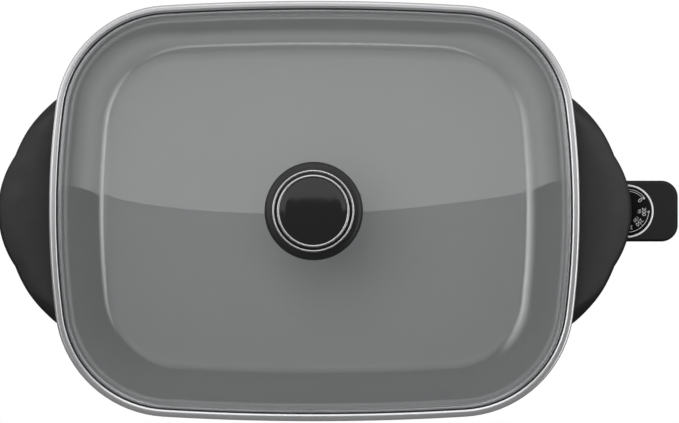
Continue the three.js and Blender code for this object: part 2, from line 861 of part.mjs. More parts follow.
// An open-bottomed shell of one wall all round
function handleShell() {
  return sectionsAlongY(handleYs(), (y) => {
    const skin = handleSkin(y, handleInnerSkirt, handleLipDrop);
    const inner = skin[0][0];
    const outer = handleReach(y);
    const top = (x) => handleTop(x, y, inner, outer) - handleWall;
    const nearX = inner + handleWall;
    const farX = outer - handleWall - fitGap;
    const lining = [
      [farX, skin.at(-1)[1]],
      [farX, top(farX) - handleEdgeRound * 0.6],
      [farX - handleEdgeRound * 0.5, top(farX - handleEdgeRound * 0.5)],
      ...[0.7, 0.35].map((share) => nearX + (farX - nearX) * share).map((x) => [x, top(x)]),
      [nearX, top(nearX)],
      [nearX, skin[0][1]],
    ];
    return [...skin, ...lining];
  });
}

// Everything that lies under the handle's outer skin, down to below the table
function underHandleSkin() {
  const low = -handleTopHeight;
  return sectionsAlongY(handleYs(), (y) => {
    const skin = handleSkin(y, handleInnerSkirt, handleLipDrop);
    skin[0][1] = low;
    skin.at(-1)[1] = low;
    return skin;
  });
}

const legBottom = footHeight + fitGap;
const legTaperShare = 0.76;
const legMiddleY = (legNearY + legFarY) / 2;

// A leg's plan at its top, following the handle's outer edge with an inset
function legPlan(inset, innerX) {
  const [near, far] = [legNearY + inset, legFarY - inset];
  const edge = [0, 0.35, 0.7, 1].map((share) => near + (far - near) * share);
  return [
    [innerX, near],
    ...edge.map((y) => [handleReach(y) - fitGap * 3 - inset, y]),
    [innerX, far],
  ];
}

function legLoft(plan, bottom, top) {
  const narrowed = plan.map(([x, y]) => [
    legMiddleX + (x - legMiddleX) * legTaperShare,
    legMiddleY + (y - legMiddleY) * legTaperShare,
  ]);
  const at = (points, z) => points.map(([x, y]) => new THREE.Vector3(x, y, z));
  return loft([at(narrowed, bottom), at(plan, top)]);
}

// Outside of a leg, and the pocket that opens it towards the pan
function legSolids() {
  const outside = legLoft(legPlan(0, legInnerX), legBottom, handleTopHeight + handleCrown);
  const pocketPlan = legPlan(handleWall, legInnerX - legPocketOverrun);
  const pocketTop = handleTopHeight - handleInnerSkirt - handleWall;
  const pocket = legLoft(pocketPlan, legBottom + legFloor, pocketTop);
  return { outside, pocket };
}

function mirroredY(geometry) {
  return outward(geometry.clone().scale(1, -1, 1));
}

const gripScrewX = (rimEndX(0, handleInnerInset) + gripReach) / 2;
const gripPlateTop = handleTopHeight - handleLipDrop + gripPlateThickness;

function handle() {
  const { outside, pocket } = legSolids();
  const skin = underHandleSkin();
  const bossTop = handleTopHeight + handleCrown / 2;
  const parts = [handleShell()];
  const tools = [];
  const footHole = rod(footStemRadius + fitGap, legBottom - cutOverrun, legBottom + legFloor + cutOverrun);
  footHole.translate(legMiddleX, legMiddleY, 0);
  for (const mirror of [(g) => g, mirroredY]) {
    parts.push(common(mirror(outside), skin));
    tools.push(mirror(pocket), mirror(footHole));
    const mountBoss = rod(handleBossRadius, lugTopHeight + fitGap, bossTop);
    parts.push(mirror(mountBoss.translate(lugX, lugY, 0)));
    const mountHole = rod(
      handleScrewRadius + fitGap,
      lugTopHeight - cutOverrun,
      handleTopHeight - handleWall - fitGap,
    );
    tools.push(mirror(mountHole.translate(lugX, lugY, 0)));
    const gripBoss = rod(gripBossRadius, gripPlateTop + fitGap, bossTop);
    parts.push(mirror(gripBoss.translate(gripScrewX, gripScrewY, 0)));
    const gripHole = rod(
      gripScrewRadius + fitGap,
      gripPlateTop - cutOverrun,
      handleTopHeight - handleWall - fitGap,
    );
    tools.push(mirror(gripHole.translate(gripScrewX, gripScrewY, 0)));
  }
  return cut(join(...parts), ...tools);
}

// A bellied plate that closes the underside of the grip, where the fingers go
function gripPlate() {
  const steps = 10;
  const ys = Array.from(
    { length: steps + 1 },
    (_, i) => -gripPlateHalfWidth + (2 * gripPlateHalfWidth * i) / steps,
  );
  const body = sectionsAlongY(ys, (y) => {
    const near = rimEndX(y, handleInnerInset) + handleWall + fitGap * 1.5;
    const far = handleReach(y) - handleWall - fitGap * 2.5;
    const shares = [0, 0.12, 0.35, 0.65, 0.88, 1];
    const x = (share) => near + (far - near) * share;
    const sag = (share) => gripPlateBelly * (1 - (2 * share - 1) ** 4);
    return [
      ...shares.map((share) => [x(share), gripPlateTop - gripPlateThickness - sag(share)]),
      ...shares.reverse().map((share) => [x(share), gripPlateTop]),
    ];
  });
  const hole = rod(gripScrewRadius + fitGap, handleTopHeight / 2, handleTopHeight);
  hole.translate(gripScrewX, gripScrewY, 0);
  return cut(body, hole, mirroredY(hole));
}

const gripPlateUnder = gripPlateTop - gripPlateThickness - gripPlateBelly;

function foot() {
  const stemTop = legBottom + legFloor * 0.8;
  return turned([
    [0, 0],
    [footRadius - footHeight * 0.2, 0],
    [footRadius, footHeight * 0.3],
    [footRadius, footHeight],
    [footStemRadius, footHeight],
    [footStemRadius, stemTop],
    [0, stemTop],
  ]);
}

// Temperature control. Its origin lies on the plug's axis at the casing's near end.

// The casing from above: two small corners towards the pan, two large ones at the far end
function casingPlan(inset) {
  const half = casingHalfWidth - inset;
  const far = casingLength - inset;
  const large = casingEndRadius - inset;
  const small = Math.max(casingNearRadius - inset, fitGap);
  const corners = [
    [far - large, large - half, large, -1],
    [far - large, half - large, large, 0],
    [inset + small, half - small, small, 1],
    [inset + small, small - half, small, 2],
  ];
  return corners.flatMap(([x, y, radius, quarter]) =>
    Array.from({ length: casingCornerSteps + 1 }, (_, i) => {
      const angle = (Math.PI / 2) * (quarter + i / casingCornerSteps);
      return new THREE.Vector2(x + radius * Math.cos(angle), y + radius * Math.sin(angle));
    }),
  );
}

function slab(points, from, to) {
  const made = new THREE.ExtrudeGeometry(new THREE.Shape(points), { depth: to - from, bevelEnabled: false });
  return outward(made.translate(0, 0, from));
}

// A slab whose one face is drawn in along a round edge
function roundedSlab(flatZ, roundZ) {
  const towards = Math.sign(roundZ - flatZ);
  const rings = [
    [0, flatZ],
    [0, roundZ - towards * casingEdgeRound],
    [casingEdgeRound * 0.3, roundZ - towards * casingEdgeRound * 0.3],
    [casingEdgeRound, roundZ],
  ];
  return loft(rings.map(([inset, z]) => atHeight(casingPlan(inset), z)));
}

const casingPosts = [
  [casingScrewInsetX * 0.72, casingScrewHalfSpacing],
  [casingScrewInsetX * 0.72, -casingScrewHalfSpacing],
  [casingLength - casingScrewInsetX, casingScrewHalfSpacing - casingWall],
  [casingLength - casingScrewInsetX, casingWall - casingScrewHalfSpacing],
];
const glandDrop = 2.5;

function noseOpening() {
  const half = noseHalfWidth + fitGap;
  const high = noseHalfHeight + fitGap;
  return block(-cutOverrun, casingWall + cutOverrun, -half, half, -high, high);
}

function glandHole() {
  return alongX(rod(glandRadius + fitGap, casingLength - glandLength, casingLength + cutOverrun)).translate(
    0,
    0,
    -glandDrop,
  );
}

function casingBase() {
  const body = cut(
    roundedSlab(casingPartingRise, -casingBelowAxis),
    slab(casingPlan(casingWall), casingWall - casingBelowAxis, casingPartingRise + cutOverrun),
  );
  const top = casingPartingRise - fitGap;
  const posts = casingPosts.map(([x, y]) =>
    rod(casingPostRadius, casingWall / 2 - casingBelowAxis, top).translate(x, y, 0),
  );
  const holes = casingPosts.map(([x, y]) =>
    rod(casingScrewRadius + fitGap, -casingBelowAxis - cutOverrun, top + cutOverrun).translate(x, y, 0),
  );
  return cut(join(body, ...posts), noseOpening(), glandHole(), ...holes);
}

function casingCover() {
  const bottom = casingPartingRise + fitGap;
  const holeTop = casingAboveAxis - casingWall * 1.5;
  const body = cut(
    roundedSlab(bottom, casingAboveAxis),
    slab(casingPlan(casingWall), bottom - cutOverrun, casingAboveAxis - casingWall),
  );
  const posts = casingPosts.map(([x, y]) =>
    rod(casingPostRadius, bottom, casingAboveAxis - casingWall / 2).translate(x, y, 0),
  );
  const holes = casingPosts.map(([x, y]) =>
    rod(casingScrewRadius + fitGap, bottom - cutOverrun, holeTop).translate(x, y, 0),
  );
  const spindleHole = rod(spindleRadius + fitGap, bottom, casingAboveAxis + cutOverrun);
  spindleHole.translate(dialSetback, 0, 0);
  return cut(join(body, ...posts), noseOpening(), spindleHole, ...holes);
}

// The nose block insulates the two sockets and the rod, and its flange sits behind the casing's wall
function socketBlock() {
  const flangeStart = casingWall + fitGap;
  const nose = block(
    -noseLength,
    flangeStart + noseFlangeThickness,
    -noseHalfWidth,
    noseHalfWidth,
    -noseHalfHeight,
    noseHalfHeight,
  );
  const flange = block(
    flangeStart,
    flangeStart + noseFlangeThickness,
    -noseHalfWidth - noseFlange,
    noseHalfWidth + noseFlange,
    -noseHalfHeight - noseFlange / 2,
    noseHalfHeight + noseFlange,
  );
  const boreEnd = flangeStart + noseFlangeThickness + cutOverrun;
  const bore = (radius, y) => alongX(rod(radius, -noseLength - cutOverrun, boreEnd)).translate(0, y, 0);
  const postNotches = casingPosts
    .slice(0, 2)
    .map(([x, y]) =>
      rod(casingPostRadius + fitGap, -casingBelowAxis, casingAboveAxis).translate(x, y, 0),
    );
  return cut(
    join(nose, flange),
    bore(socketRadius + fitGap, pinHalfSpacing),
    bore(socketRadius + fitGap, -pinHalfSpacing),
    bore(rodRadius + fitGap, 0),
    ...postNotches,
  );
}

function socketContact() {
  return alongX(ring(socketRadius, pinRadius + fitGap, -noseLength + fitGap, socketLength - noseLength));
}

const frameBottom = casingWall - casingBelowAxis + fitGap;
const frameStart = casingWall + noseFlangeThickness + fitGap * 4;
const stackEnd = casingLength - stackFromEnd;
const stackStart = stackEnd - stackLength;
const rodEnd = frameStart + frameThickness + fitGap * 8;

function sensorRod() {
  const tip = -rodReach;
  return alongX(
    turned([
      [0, tip],
      [rodRadius * 0.6, tip],
      [rodRadius, tip + rodRadius * 0.6],
      [rodRadius, rodEnd],
      [0, rodEnd],
    ]),
  );
}

// A bent steel strip: an upright that carries the rod and a floor that carries the contact stack
function thermostatFrame() {
  const floor = block(
    frameStart,
    stackEnd,
    -frameHalfWidth,
    frameHalfWidth,
    frameBottom,
    frameBottom + frameThickness,
  );
  const upright = block(
    frameStart,
    frameStart + frameThickness,
    -frameHalfWidth,
    frameHalfWidth,
    frameBottom,
    rodRadius * 1.9,
  );
  const holeEnd = frameStart + frameThickness + cutOverrun;
  const hole = alongX(rod(rodRadius + fitGap, frameStart - cutOverrun, holeEnd));
  return cut(join(floor, upright), hole);
}

const stackBottom = frameBottom + frameThickness + fitGap;
const bimetalZ = frameBottom + bimetalRise;
const armZ = frameBottom + armRise;
const armSlack = fitGap * 2;

function slotFor(z, thickness, slack) {
  return block(
    stackStart - cutOverrun,
    stackStart + bladeBite + fitGap,
    -bladeHalfWidth - fitGap,
    bladeHalfWidth + fitGap,
    z - slack,
    z + thickness + slack,
  );
}

function contactStack() {
  const top = armZ + bladeThickness + stackHalfWidth / 2;
  const body = block(stackStart, stackEnd, -stackHalfWidth, stackHalfWidth, stackBottom, top);
  return cut(body, slotFor(bimetalZ, bladeThickness, fitGap), slotFor(armZ, bladeThickness, armSlack));
}

const contactX = rodEnd + contactRadius * 2.5;

function bimetalBlade() {
  const blade = block(
    contactX - contactRadius * 1.5,
    stackStart + bladeBite,
    -bladeHalfWidth,
    bladeHalfWidth,
    bimetalZ,
    bimetalZ + bladeThickness,
  );
  const rivet = rod(contactRadius, bimetalZ + bladeThickness / 2, bimetalZ + bladeThickness + contactHeight);
  return join(blade, rivet.translate(contactX, 0, 0));
}

function contactArm() {
  const blade = block(
    contactX - contactRadius * 1.5,
    stackStart + bladeBite,
    -bladeHalfWidth,
    bladeHalfWidth,
    armZ,
    armZ + bladeThickness,
  );
  const rivet = rod(contactRadius, armZ - contactHeight / 2, armZ + bladeThickness / 2);
  return join(blade, rivet.translate(contactX, 0, 0));
}

const terminalStart = stackEnd + fitGap;

function terminalBlock() {
  const bottom = casingWall - casingBelowAxis + fitGap;
  const half = casingPosts[2][1] - casingPostRadius - fitGap;
  return block(
    terminalStart,
    terminalStart + terminalBlockLength,
    -half,
    half,
    bottom,
    bottom + terminalBlockHeight,
  );
}

// A flat strip from a socket, down and back to the terminal block
function busbar() {
  const start = socketLength - noseLength + fitGap * 3;
  const low = casingWall - casingBelowAxis + terminalBlockHeight + fitGap * 2;
  const high = busbarWidth / 2;
  const near = pinHalfSpacing - busbarThickness * 1.5;
  const outline = new THREE.Shape();
  outline.moveTo(start, high);
  outline.lineTo(start, -high);
  outline.lineTo(start + frameStart, low);
  outline.lineTo(terminalStart + terminalBlockLength, low);
  outline.lineTo(terminalStart + terminalBlockLength, low + busbarWidth);
  outline.lineTo(start + frameStart + busbarWidth / 2, low + busbarWidth);
  outline.lineTo(start + busbarWidth, high);
  outline.closePath();
  const strip = new THREE.ExtrudeGeometry(outline, { depth: busbarThickness, bevelEnabled: false });
  return outward(strip.rotateX(Math.PI / 2).translate(0, near + busbarThickness, 0));
}

function cordGland() {
  const start = casingLength - glandLength;
  const inner = casingLength - casingWall - fitGap;
  return alongX(
    turned([
      [glandBore, start],
      [glandRadius + glandFlange, start],
      [glandRadius + glandFlange, inner],
      [glandRadius, inner],
      [glandRadius, casingLength],
      [glandBore, casingLength],
    ]),
  ).translate(0, 0, -glandDrop);
}

// Dial pieces, with heights measured from the casing's top, about the spindle's axis
function dialBezel() {
  const inner = dialRadius + fitGap;
  const outer = inner + bezelWidth;
  const soft = bezelWidth * 0.3;
  const top = fitGap + bezelHeight;
  return turned(
    [
      [inner, fitGap],
      [outer, fitGap],
      [outer, top - soft],
      [outer - soft, top],
      [inner + soft, top],
      [inner, top - soft],
    ],
    knobSides,
  );
}

const spindleSeat = dialThickness * 0.6;

function dial() {
  const top = fitGap + dialThickness;
  const chamfer = dialThickness * 0.2;
  const disc = turned(
    [[0, fitGap], [dialRadius, fitGap], [dialRadius, top - chamfer], [dialRadius - chamfer, top], [0, top]],
    knobSides,
  );
  const barLength = dialRadius * 0.72;
  const bar = [
    [-dialBarWidth / 2, -barLength],
    [dialBarWidth / 2, -barLength],
    [dialBarWidth / 2, barLength],
    [0, barLength + dialBarWidth / 3],
    [-dialBarWidth / 2, barLength],
  ].map(([x, y]) => new THREE.Vector2(x, y));
  const ridge = slab(bar, top - chamfer, top + dialBarHeight);
  const socket = rod(spindleRadius + fitGap, -cutOverrun, spindleSeat + fitGap);
  return cut(join(disc, ridge), socket);
}

function spindle() {
  const tip = armZ + bladeThickness + fitGap - casingAboveAxis;
  const point = spindleRadius * 0.45;
  return turned([
    [0, tip],
    [point, tip],
    [spindleRadius, tip + spindleRadius - point],
    [spindleRadius, spindleSeat],
    [0, spindleSeat],
  ]);
}

// Assembly
function mesh(name, geometry, material, x = 0, y = 0, z = 0) {
  const made = new THREE.Mesh(geometry, material);
  made.name = name;
  made.position.set(x, y, z);
  return made;
}

const skillet = new THREE.Group();
skillet.name = "electric_skillet";

// Centre the part on its own length: the control reaches further out than the left-hand handle
const alongShift = (gripReach - casingEndX) / 2;
skillet.position.x = alongShift;

skillet.add(mesh("pan", pan(), castCoating));
skillet.add(mesh("heating_element", elementTube(elementRadius), elementSheath, 0, 0, plugAxisHeight));

for (const [place, side] of [["front", -1], ["rear", 1]]) {
  const y = side * pinHalfSpacing;
  const x = elementEndX + fitGap;
  skillet.add(mesh(`terminal_pin_${place}`, terminalPin(), brightMetal, x, y, plugAxisHeight));
  skillet.add(mesh(`element_seal_${place}`, elementSeal(), ceramicWhite, x, y, plugAxisHeight));
  const guardScrew = alongX(
    screw(casingScrewRadius, bossLength / 6, casingScrewHeadRadius, casingScrewHeadHeight).rotateX(Math.PI),
  );
  skillet.add(
    mesh(
      `guard_screw_${place}`,
      guardScrew,
      brightMetal,
      bossEndX + guardWall + fitGap * 2,
      side * guardScrewHalfSpacing,
      plugAxisHeight - guardScrewDrop,
    ),
  );
}
skillet.add(mesh("probe_guard", probeGuard(), brushedSteel, bossEndX + fitGap, 0, plugAxisHeight));

// A handle's group is turned half round for the left-hand end, so its front and rear change places
const handleScrewTip = handleTopHeight - handleWall - screwTipClearance;
const handleScrewLength = handleScrewTip - (lugTopHeight - lugThickness);
const gripScrewLength = handleScrewTip - gripPlateUnder;
for (const [end, turn] of [["right", 0], ["left", Math.PI]]) {
  const group = new THREE.Group();
  group.rotation.z = turn;
  group.add(mesh(`${end}_handle`, handle(), blackPlastic));
  group.add(mesh(`${end}_grip_plate`, gripPlate(), blackPlastic));
  for (const side of [-1, 1]) {
    const place = side * (turn ? -1 : 1) < 0 ? "front" : "rear";
    const mountScrew = screw(
      handleScrewRadius,
      handleScrewLength,
      handleScrewHeadRadius,
      handleScrewHeadHeight,
    );
    const mountZ = lugTopHeight - lugThickness - fitGap;
    group.add(mesh(`${end}_handle_screw_${place}`, mountScrew, brightMetal, lugX, side * lugY, mountZ));
    const plateScrew = screw(
      gripScrewRadius,
      gripScrewLength,
      casingScrewHeadRadius,
      casingScrewHeadHeight,
    );
    const plateZ = gripPlateUnder - fitGap;
    const plateName = `${end}_grip_screw_${place}`;
    group.add(mesh(plateName, plateScrew, brightMetal, gripScrewX, side * gripScrewY, plateZ));
    group.add(mesh(`${end}_foot_${place}`, foot(), blackRubber, legMiddleX, side * legMiddleY));
  }
  skillet.add(group);
}

// Lid
const lid = new THREE.Group();
lid.position.z = bandBottom;
lid.add(mesh("lid_rim", lidBand(), brushedSteel));
lid.add(mesh("lid_glass", lidGlass(), lidGlassTint));
const knob = new THREE.Group();
knob.position.z = crownTop;
knob.add(mesh("knob_base", knobBase(), blackPlastic));
knob.add(mesh("knob_body", knobBody(), glossBlack));
knob.add(mesh("knob_trim_ring", knobTrimRing(), brightMetal));
knob.add(mesh("knob_cap_ring", knobCapRing(), brightMetal));
knob.add(mesh("knob_cap", knobCap(), glossBlack));
const gasketTop = -glassThickness - fitGap;
const washerTop = gasketTop - knobGasketThickness - fitGap;
const screwSeat = washerTop - knobWasherThickness - fitGap;
const screwBore = knobScrewRadius + fitGap;
const gasketRadius = knobWasherRadius + knobWasherThickness;
const gasket = ring(gasketRadius, screwBore, gasketTop - knobGasketThickness, gasketTop);
knob.add(mesh("knob_gasket", gasket, clearSilicone));
const washer = ring(knobWasherRadius, screwBore, washerTop - knobWasherThickness, washerTop);
knob.add(mesh("knob_washer", washer, brightMetal));
const knobScrew = screw(
  knobScrewRadius,
  knobScrewGrip - screwSeat,
  knobScrewHeadRadius,
  knobScrewHeadHeight,
);
knob.add(mesh("knob_screw", knobScrew, brightMetal, 0, 0, screwSeat));
lid.add(knob);
skillet.add(lid);

// Temperature control
const control = new THREE.Group();
control.position.set(casingStartX, 0, plugAxisHeight);
control.add(mesh("casing_base", casingBase(), blackPlastic));
control.add(mesh("casing_cover", casingCover(), blackPlastic));
control.add(mesh("socket_block", socketBlock(), blackPlastic));
control.add(mesh("sensor_rod", sensorRod(), brightMetal));
control.add(mesh("thermostat_frame", thermostatFrame(), brightMetal));
control.add(mesh("contact_stack", contactStack(), ceramicWhite));
control.add(mesh("bimetal_blade", bimetalBlade(), brassMetal));
control.add(mesh("contact_arm", contactArm(), brassMetal));
control.add(mesh("terminal_block", terminalBlock(), ceramicWhite));
control.add(mesh("cord_gland", cordGland(), blackRubber));
for (const [place, side] of [["front", -1], ["rear", 1]]) {
  control.add(mesh(`socket_contact_${place}`, socketContact(), brassMetal, 0, side * pinHalfSpacing));
  const bar = side > 0 ? busbar() : mirroredY(busbar());
  control.add(mesh(`busbar_${place}`, bar, brassMetal));
}
const casingScrewLength = casingBelowAxis + casingAboveAxis - casingWall * 2;
casingPosts.forEach(([x, y], i) => {
  const one = screw(casingScrewRadius, casingScrewLength, casingScrewHeadRadius, casingScrewHeadHeight);
  control.add(mesh(`casing_screw_${i + 1}`, one, brightMetal, x, y, -casingBelowAxis - fitGap));
});
const dialGroup = new THREE.Group();
dialGroup.position.set(dialSetback, 0, casingAboveAxis);
dialGroup.add(mesh("dial_bezel", dialBezel(), brightMetal));
dialGroup.add(mesh("dial", dial(), glossBlack));
dialGroup.add(mesh("dial_spindle", spindle(), brightMetal));
control.add(dialGroup);
skillet.add(control);

export default skillet;
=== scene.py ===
# An electric skillet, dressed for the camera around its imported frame.
# The order below is the order in which the object goes together: pan, heat, handles, lid, control.
import math

import bmesh
import bpy
from mathutils import Matrix, Vector


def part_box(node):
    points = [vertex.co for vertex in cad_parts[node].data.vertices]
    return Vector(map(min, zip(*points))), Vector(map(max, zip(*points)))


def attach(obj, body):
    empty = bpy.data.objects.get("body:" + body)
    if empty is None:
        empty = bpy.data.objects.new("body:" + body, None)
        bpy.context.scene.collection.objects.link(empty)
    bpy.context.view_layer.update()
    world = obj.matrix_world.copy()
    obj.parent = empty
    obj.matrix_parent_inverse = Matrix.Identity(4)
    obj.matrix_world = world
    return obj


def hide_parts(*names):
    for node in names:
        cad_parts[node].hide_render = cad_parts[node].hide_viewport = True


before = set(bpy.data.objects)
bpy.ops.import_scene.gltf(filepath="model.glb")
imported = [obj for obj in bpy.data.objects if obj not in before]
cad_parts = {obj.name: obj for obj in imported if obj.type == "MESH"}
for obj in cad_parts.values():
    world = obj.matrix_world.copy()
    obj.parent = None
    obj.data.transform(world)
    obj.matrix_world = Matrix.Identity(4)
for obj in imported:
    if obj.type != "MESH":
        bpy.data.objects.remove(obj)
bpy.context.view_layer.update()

# Camera
# It looks straight down on the lid from 1.3 m above the steel band, and takes in half a metre there.
# The middle of the picture lies a little to the right of the pan's middle.
band_low, band_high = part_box("lid_rim")
pan_centre = Vector(((band_low.x + band_high.x) / 2, (band_low.y + band_high.y) / 2, 0))
camera_rise = 1.3
field_width = 0.51096
camera_shift = Vector((0.0189, -0.0003, 0))
sensor_width = 36

lens = bpy.data.cameras.new("camera")
lens.sensor_width = sensor_width
lens.lens = sensor_width * camera_rise / field_width
lens.clip_start = 0.01
camera = bpy.data.objects.new("camera", lens)
camera.location = pan_centre + camera_shift + Vector((0, 0, band_high.z + camera_rise))
bpy.context.scene.collection.objects.link(camera)
bpy.context.scene.camera = camera
bpy.context.scene.view_settings.view_transform = "Standard"

# Studio
# A white room and a pale floor, with one soft lamp high above, a little to the rear left.
# Black cards close the front half, as round any glossy ware, with a small one over the knob's cap, and
# bright strips draw the edges. Only reflections show either.
room_light = 0.5
horizon_light = 0.5
sky_light = 1.4
horizon_fade = (0.0, 0.3)
zenith_fade = (0.6, 1.0)
floor_in_gloss = 0.2
floor_size = 4.0
floor_white = 0.9
lamp_size = 1.6
lamp_power = 34.0
lamp_place = Vector((-0.35, 0.45, 2.6))
card_height = 2.0
card_half_width = 0.8
card_depth = 0.8
full_glow = 0.2


def feed(tree, socket, value):
    """Sets a socket to a number, or links another socket to it."""
    if isinstance(value, (int, float)):
        socket.default_value = value
    else:
        tree.links.new(value, socket)


def number_node(tree, operation, first, second):
    """A math node between two sockets or numbers."""
    node = tree.nodes.new("ShaderNodeMath")
    node.operation = operation
    feed(tree, node.inputs[0], first)
    feed(tree, node.inputs[1], second)
    return node.outputs[0]


def spread_node(tree, value, low, high, to_low, to_high):
    """A node that maps one span of values to another."""
    node = tree.nodes.new("ShaderNodeMapRange")
    feed(tree, node.inputs["Value"], value)
    for label, number in (("From Min", low), ("From Max", high), ("To Min", to_low), ("To Max", to_high)):
        feed(tree, node.inputs[label], number)
    return node.outputs["Result"]


def blend_shaders(tree, share, first, second):
    """Sends a mix of two shader nodes to the material's output."""
    mix = tree.nodes.new("ShaderNodeMixShader")
    tree.links.new(share, mix.inputs["Fac"])
    tree.links.new(first.outputs[0], mix.inputs[1])
    tree.links.new(second.outputs[0], mix.inputs[2])
    tree.links.new(mix.outputs["Shader"], tree.nodes["Material Output"].inputs["Surface"])


def eye_paths(tree):
    """1 where the eye sees straight or through glass, and 1 where it sees by way of a mirror."""
    path = tree.nodes.new("ShaderNodeLightPath")
    turned = number_node(tree, "MINIMUM", path.outputs["Glossy Depth"], 1)
    through = number_node(tree, "SUBTRACT", path.outputs["Is Transmission Ray"], turned)
    seen = number_node(tree, "MAXIMUM", path.outputs["Is Camera Ray"], through)
    return seen, number_node(tree, "MULTIPLY", path.outputs["Is Glossy Ray"], turned)


def white_room():
    """White to the eye. It lights the skillet less, and gloss sees it fall off to the horizon."""
    world = bpy.data.worlds.new("white_room")
    bpy.context.scene.world = world
    world.use_nodes = True
    tree = world.node_tree
    background = tree.nodes["Background"]
    background.inputs["Color"].default_value = (1, 1, 1, 1)
    seen, in_mirror = eye_paths(tree)
    plain = spread_node(tree, seen, 0, 1, room_light, 1)
    way = tree.nodes.new("ShaderNodeTexCoord")
    split = tree.nodes.new("ShaderNodeSeparateXYZ")
    tree.links.new(way.outputs["Generated"], split.inputs[0])
    low = spread_node(tree, split.outputs["Z"], *horizon_fade, horizon_light, sky_light)
    high = spread_node(tree, split.outputs["Z"], *zenith_fade, sky_light, 1)
    fall = number_node(tree, "MINIMUM", low, high)
    mix = tree.nodes.new("ShaderNodeMix")
    tree.links.new(in_mirror, mix.inputs["Factor"])
    tree.links.new(plain, mix.inputs["A"])
    tree.links.new(fall, mix.inputs["B"])
    tree.links.new(mix.outputs["Result"], background.inputs["Strength"])


def new_material(name, color, roughness, metallic=0.0, specular=0.5):
    material = bpy.data.materials.new(name)
    material.use_nodes = True
    shader = material.node_tree.nodes["Principled BSDF"]
    shader.inputs["Base Color"].default_value = (*color, 1)
    shader.inputs["Roughness"].default_value = roughness
    shader.inputs["Metallic"].default_value = metallic
    shader.inputs["Specular IOR Level"].default_value = specular
    return material


def object_from(name, bm):
    mesh = bpy.data.meshes.new(name)
    bm.to_mesh(mesh)
    bm.free()
    piece = bpy.data.objects.new(name, mesh)
    bpy.context.scene.collection.objects.link(piece)
    return piece


def white_floor():
    bm = bmesh.new()
    bmesh.ops.create_grid(bm, x_segments=1, y_segments=1, size=floor_size)
    material = new_material("floor", (floor_white, floor_white, floor_white), 0.8)
    tree = material.node_tree
    seen, in_mirror = eye_paths(tree)
    glow = tree.nodes.new("ShaderNodeEmission")
    tree.links.new(spread_node(tree, seen, 0, 1, floor_in_gloss, 1), glow.inputs["Strength"])
    share = number_node(tree, "MAXIMUM", seen, in_mirror)
    blend_shaders(tree, share, tree.nodes["Principled BSDF"], glow)
    material.cycles.emission_sampling = "NONE"
    floor = object_from("floor", bm)
    floor.data.materials.append(material)


def reflected(name, glow, corners, middle=None, reach=None):
    """A black card, or a strip whose glow dies away from its middle, that only a reflection shows."""
    bm = bmesh.new()
    bm.faces.new([bm.verts.new(corner) for corner in corners])
    material = new_material(name, (0, 0, 0), 1, 0, 0)
    tree = material.node_tree
    velvet = tree.nodes["Principled BSDF"]
    velvet.inputs["Emission Color"].default_value = (1, 1, 1, 1)
    velvet.inputs["Emission Strength"].default_value = glow
    share = eye_paths(tree)[1]
    if glow:
        place = tree.nodes.new("ShaderNodeTexCoord").outputs["Object"]
        for operation, by in (("SUBTRACT", middle), ("DIVIDE", reach), ("LENGTH", (0, 0, 0))):
            node = tree.nodes.new("ShaderNodeVectorMath")
            node.operation = operation
            node.inputs[1].default_value = by
            tree.links.new(place, node.inputs[0])
            place = node.outputs["Value" if operation == "LENGTH" else "Vector"]
        share = number_node(tree, "MULTIPLY", share, spread_node(tree, place, full_glow, 1, 1, 0))
    blend_shaders(tree, share, tree.nodes.new("ShaderNodeBsdfTransparent"), velvet)
    material.cycles.emission_sampling = "NONE"
    card = object_from(name, bm)
    card.data.materials.append(material)
    card.visible_camera = False
    card.visible_diffuse = False
    card.visible_shadow = False


white_room()
white_floor()
lamp = bpy.data.lights.new("soft_lamp", "AREA")
lamp.size = lamp_size
lamp.energy = lamp_power
lamp_object = bpy.data.objects.new("soft_lamp", lamp)
lamp_object.location = lamp_place
lamp_object.rotation_euler = (-lamp_place).to_track_quat("-Z", "Y").to_euler()
lamp_object.visible_glossy = False
lamp_object.visible_transmission = False
bpy.context.scene.collection.objects.link(lamp_object)
card_steps = 32
card_middle = -0.0055
card_bend = {-1: (0.0865, 2.77), 1: (0.079, 1.5)}
card_side_edge = {
    -1: ((0.046, 0), (0.037, 0.4), (0.03, 0.8), (0.034, 1.3)),
    1: ((0.057, 0), (0.044, 0.4), (0.035, 0.8), (0.04, 1.3)),
}


def card_edge_y(x):
    """The card's rear edge bends backwards at both sides."""
    bend, power = card_bend[math.copysign(1, x)]
    return card_middle + bend * abs(x) ** power


edge_xs = [card_half_width * (2 * i / card_steps - 1) for i in range(card_steps + 1)]
card_edge = [(pan_centre.x + x, card_edge_y(x), card_height) for x in edge_xs]
card_front = [(pan_centre.x + x, -card_depth, card_height) for x in (card_half_width, -card_half_width)]
reflected("card_above", 0, card_edge + card_front)
for name, side in (("card_left", -1), ("card_right", 1)):
    x = side * card_half_width
    front_foot, front_top = (-card_depth, 0), (-card_depth, card_height)
    edge = [front_foot, *card_side_edge[side], (card_edge_y(x), card_height), front_top]
    reflected(name, 0, [(pan_centre.x + x, y, z) for y, z in edge])
low, high = pan_centre.x - card_half_width, pan_centre.x + card_half_width
front = ((low, 0), (high, 0), (high, card_height), (low, card_height))
reflected("card_front", 0, [(x, -card_depth, z) for x, z in front])
below_rear = 0.03
above_floor = 0.001
below = ((low, -card_depth), (high, -card_depth), (high, below_rear), (low, below_rear))
reflected("card_below", 0, [(x, y, above_floor) for x, y in below])
cap_card_height = 0.5
cap_card_side, cap_card_front, cap_card_rear = 0.054, -0.06, 0.019
cap_card = [(-cap_card_side, cap_card_front), (cap_card_side, cap_card_front)]
cap_card += [(cap_card_side, cap_card_rear), (-cap_card_side, cap_card_rear)]
reflected("card_cap", 0, [(pan_centre.x + x, y, cap_card_height) for x, y in cap_card])


